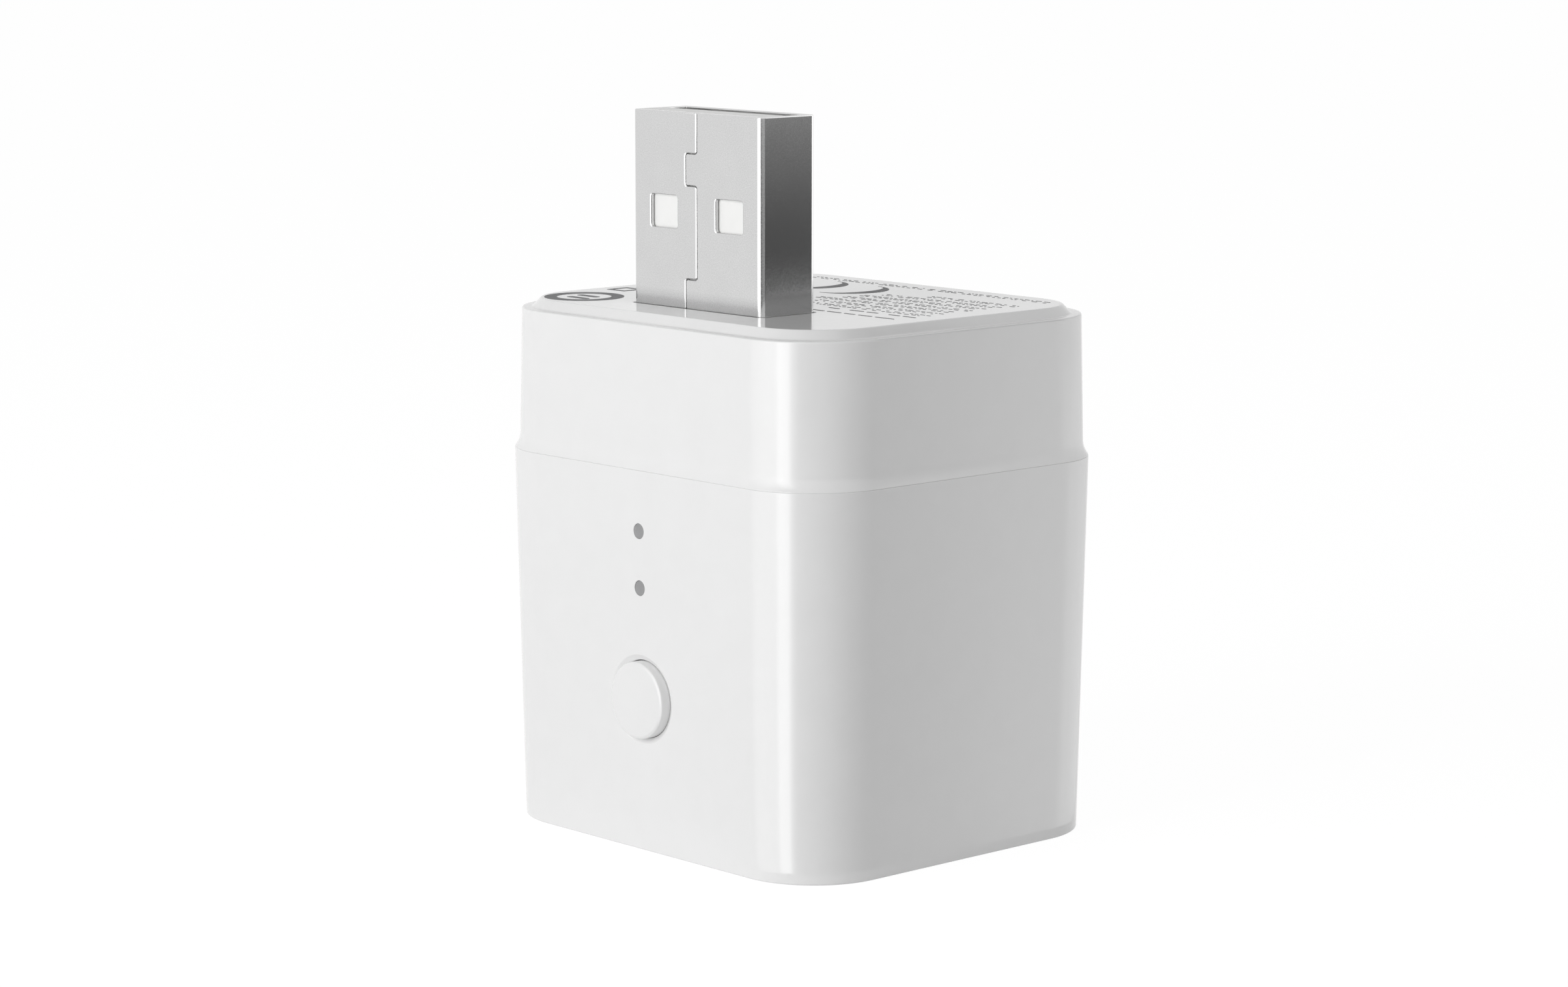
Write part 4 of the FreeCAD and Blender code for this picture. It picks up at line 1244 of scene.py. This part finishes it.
@dataclass(frozen=True)
class ToneSweep:
    """A card with graded tones that lies round the object, turns up, and is seen by shiny parts only."""

    name: str
    strips: tuple[Strip, ...]  # its strips in order; the card is even between them
    reach: float = 130.0  # how long its strips are before it turns up
    floor_height: float = 0.3
    low_height: float = 13.2  # up to which height it has the low tones
    high_height: float = 16.6  # from which height it has the high tones
    plain_height: float = 24.0  # up to which height it keeps those
    height: float = 50.0  # where its dark strips are as white as the surroundings
    glow_height: float = 190.0  # how high it is; there its bright strips are as white as well
    fade: float = 2.1  # how late it turns white above the plain height
    start: float = 0.8  # how far from the object its strips start
    steps: int = 5  # steps between two strips
    dark_rows: int = 8  # rows of faces from the plain height to where its dark strips are white
    glow_rows: int = 4  # rows of faces above that

    def tone(self, strip: Strip, height: float) -> float:
        """Finds the tone of a strip at a height.

        Args:
            strip: The strip.
            height: The height.

        Returns:
            The tone.
        """
        step = min(1.0, max(0.0, (height - self.low_height) / (self.high_height - self.low_height)))
        tone = strip.low + (strip.high - strip.low) * step
        white_height = self.glow_height if tone > 1.0 else self.height
        share = min(1.0, max(0.0, height - self.plain_height) / (white_height - self.plain_height))
        return tone + (1.0 - tone) * share ** self.fade

    def build(self) -> Thing:
        """Makes the card.

        Returns:
            The card.
        """
        heights = [self.floor_height, self.low_height, self.high_height, self.plain_height]
        for top, count in ((self.height, self.dark_rows), (self.glow_height, self.glow_rows)):
            low = heights[-1]
            heights += [low + (top - low) * number / count for number in range(1, count + 1)]
        rows = [(self.start, self.floor_height), *((self.reach, height) for height in heights)]
        strips = [self.strips[0]]
        for near, far in zip(self.strips, self.strips[1:]):
            strips += [Strip(*between(astuple(near), astuple(far), number / self.steps))
                       for number in range(1, self.steps + 1)]
        grid = []
        for strip in strips:
            angle = math.radians(strip.direction)
            out = Vector((math.sin(angle), -math.cos(angle), 0.0))
            grid.append([(Vector((strip.x, strip.y, height)) + out * reach, self.tone(strip, height))
                         for reach, height in rows])
        return toned_card(self.name, grid)


@dataclass
class Studio:
    """The floor, the surroundings, the lamp, the graded cards and the camera."""

    floor_reach: float = 4000.0
    floor_opening: Ring = Ring(29.9, 26.0, 5.15, 0.0)
    floor_steps: int = 8
    floor_colour: float = 0.8
    surroundings: float = 0.9
    overhead: float = 0.26
    backdrop: float = 1.0
    floor_glow: float = 0.92
    floor_share: float = 0.15  # how much of the light on the floor shows in it
    lens: float = 94.06
    sensor: float = 36.0
    camera_clip: Span = (0.01, 100.0)  # in metres
    camera_place: Point3 = (189.718, -174.747, 61.63)
    camera_dip: float = 8.922
    lamp_place: Point3 = (-18.0, -260.0, 100.0)
    lamp_size: Point2 = (143.0, 200.0)
    lamp_brightness: float = 3.72  # what a white card reads when it is lit as brightly as the lamp shines
    front_corner: Point2 = (10.0, -8.05)
    rear_corner: Point2 = (10.0, 8.05)
    front_tones: tuple[Point3, ...] = (  # the direction of each strip with its low and its high tone
        (-60.0, 1.0, 1.0), (-42.0, 1.0, 1.0), (-36.0, 1.8, 1.8), (-30.0, 2.2, 2.2), (-4.0, 2.8, 3.0),
        (2.0, 4.9, 4.9), (14.0, 5.1, 5.1), (18.0, 2.2, 2.6), (24.0, 0.6, 1.0), (29.0, 0.4, 0.1), (49.0, 0.4, 0.1),
        (53.0, 0.4, 0.35), (112.0, 0.35, 0.35), (125.0, 0.35, 0.35))
    side_x: float = 15.5
    side_directions: Span = (133.7, 136.3)
    side_tones: tuple[Point2, ...] = (  # the place of each strip along Y with its tone
        (-7.6, 0.5), (-6.3, 0.6), (-1.4, 1.0), (6.1, 1.7), (7.6, 1.8))
    rear_tones: tuple[Point3, ...] = ((150.0, 2.3, 2.0), (200.0, 1.0, 1.0))
    plug_card_x: float = 17.2
    plug_card_y: Span = (-5.5, 12.5)
    plug_card_tones: tuple[Point2, ...] = (  # the heights of the card that darkens the plug's side, with its tones
        (33.1, 0.15), (34.3, 0.14), (34.9, 0.11), (35.4, 0.095), (36.0, 0.09), (37.7, 0.1), (39.2, 0.125),
        (41.2, 0.17), (43.7, 0.24), (50.0, 0.5))

    def make_surroundings(self) -> None:
        """Lights the object evenly and shows as white behind it."""
        world = bpy.context.scene.world = bpy.data.worlds.new("surroundings")
        world.use_nodes = True
        nodes = Nodes(world.node_tree)
        up = nodes.add("SeparateXYZ", {0: nodes.add("TexCoord", {}, "Generated")}, "Z")
        dimmed = nodes.spread(up, (self.surroundings, self.overhead))
        level = nodes.spread(nodes.direct(), (dimmed, self.backdrop))
        nodes.fill(nodes.tree.nodes["Background"], {"Color": (1.0, 1.0, 1.0, 1.0), "Strength": level})

    def make_floor(self) -> Thing:
        """Lays the pale floor, which shows as white, keeps a faint shadow and is open under the object.

        Returns:
            The floor.
        """
        mesh = bmesh.new()
        edge = replace(self.floor_opening, width=2 * self.floor_reach, depth=2 * self.floor_reach)
        skin(mesh, [[mesh.verts.new(point * MILLIMETRE) for point in ring.points(self.floor_steps)]
                    for ring in (edge, self.floor_opening)])
        floor = placed("pale_floor", mesh)
        shading = Shading("pale_floor")
        real, shadowed = (shading.add("BsdfDiffuse", {"Color": (grey, grey, grey, 1.0)})
                          for grey in (self.floor_colour, self.floor_share))
        seen = shading.add("AddShader", {0: shadowed, 1: shading.add("Emission", {"Strength": self.floor_glow})})
        either = shading.add("MixShader", {0: shading.direct(), 1: real, 2: seen})
        return shading.stage(floor, either)

    def make_lamp(self) -> Thing:
        """Places the lamp, which faces the object's front.

        Returns:
            The lamp.
        """
        data = bpy.data.lights.new("key_softbox", "AREA")
        data.shape = "RECTANGLE"
        width, height = data.size, data.size_y = tuple(side * MILLIMETRE for side in self.lamp_size)
        data.energy = self.lamp_brightness * math.pi * width * height
        lamp = linked("key_softbox", data)
        lamp.location = Vector(self.lamp_place) * MILLIMETRE
        lamp.rotation_euler = Euler((math.pi / 2, 0.0, 0.0))
        return lamp

    def make_camera(self) -> Thing:
        """Places the camera where the photograph was taken from.

        Returns:
            The camera.
        """
        data = bpy.data.cameras.new("camera")
        data.lens, data.sensor_width = self.lens, self.sensor
        data.clip_start, data.clip_end = self.camera_clip
        camera = linked("camera", data)
        camera.location = Vector(self.camera_place) * MILLIMETRE
        camera.rotation_euler = Euler((math.radians(90.0 - self.camera_dip), 0.0, math.radians(CAMERA_TURN)))
        bpy.context.scene.camera = camera
        return camera

    def sweep(self) -> ToneSweep:
        """Lays out the graded card from the front round the corners and the right side.

        Returns:
            The card, not made yet.
        """
        strips = [Strip.from_corner(self.front_corner, *tones) for tones in self.front_tones]
        first, last = self.side_tones[0][0], self.side_tones[-1][0]
        for y, tone in self.side_tones:
            direction = self.side_directions[0] + (self.side_directions[1] - self.side_directions[0]) * (
                (y - first) / (last - first))
            strips.append(Strip(self.side_x, y, direction, tone, tone))
        strips += [Strip.from_corner(self.rear_corner, *tones) for tones in self.rear_tones]
        return ToneSweep("graded_sweep", tuple(strips))

    def build(self) -> list[Thing]:
        """Makes the studio.

        Returns:
            Its objects.
        """
        bpy.context.scene.view_settings.view_transform = "Standard"
        self.make_surroundings()
        plug_card = [[(Vector((self.plug_card_x, y, z)), tone) for z, tone in self.plug_card_tones]
                     for y in self.plug_card_y]
        return [self.make_floor(), self.make_camera(), self.make_lamp(), self.sweep().build(),
                toned_card("plug_shade_card", plug_card)]


def report(group: str, things: Iterable[Thing]) -> None:
    """Reports the pieces of a group, one line each."""
    for thing in things:
        LOG.info("%s: %s, %d faces", group, thing.name, len(thing.data.polygons) if thing.type == "MESH" else 0)


def main() -> None:
    """Builds the studio and every sub-assembly in order and reports each piece."""
    logging.basicConfig(level=logging.INFO, format="%(name)s: %(message)s")
    groups = {
        "studio": Studio(),
        "housing": HousingCup(),
        "cover": TopCover(),
        "button": PushButton(),
        "lights": StatusLights(),
        "plug": Connector("plug", PLUG_STEEL),
        "socket": Connector("socket", SOCKET_STEEL),
        "electronics": Electronics(),
        "print": PlateauPrint(),
    }
    for name, group in groups.items():
        report(name, group.build())


if __name__ == "__main__":
    main()
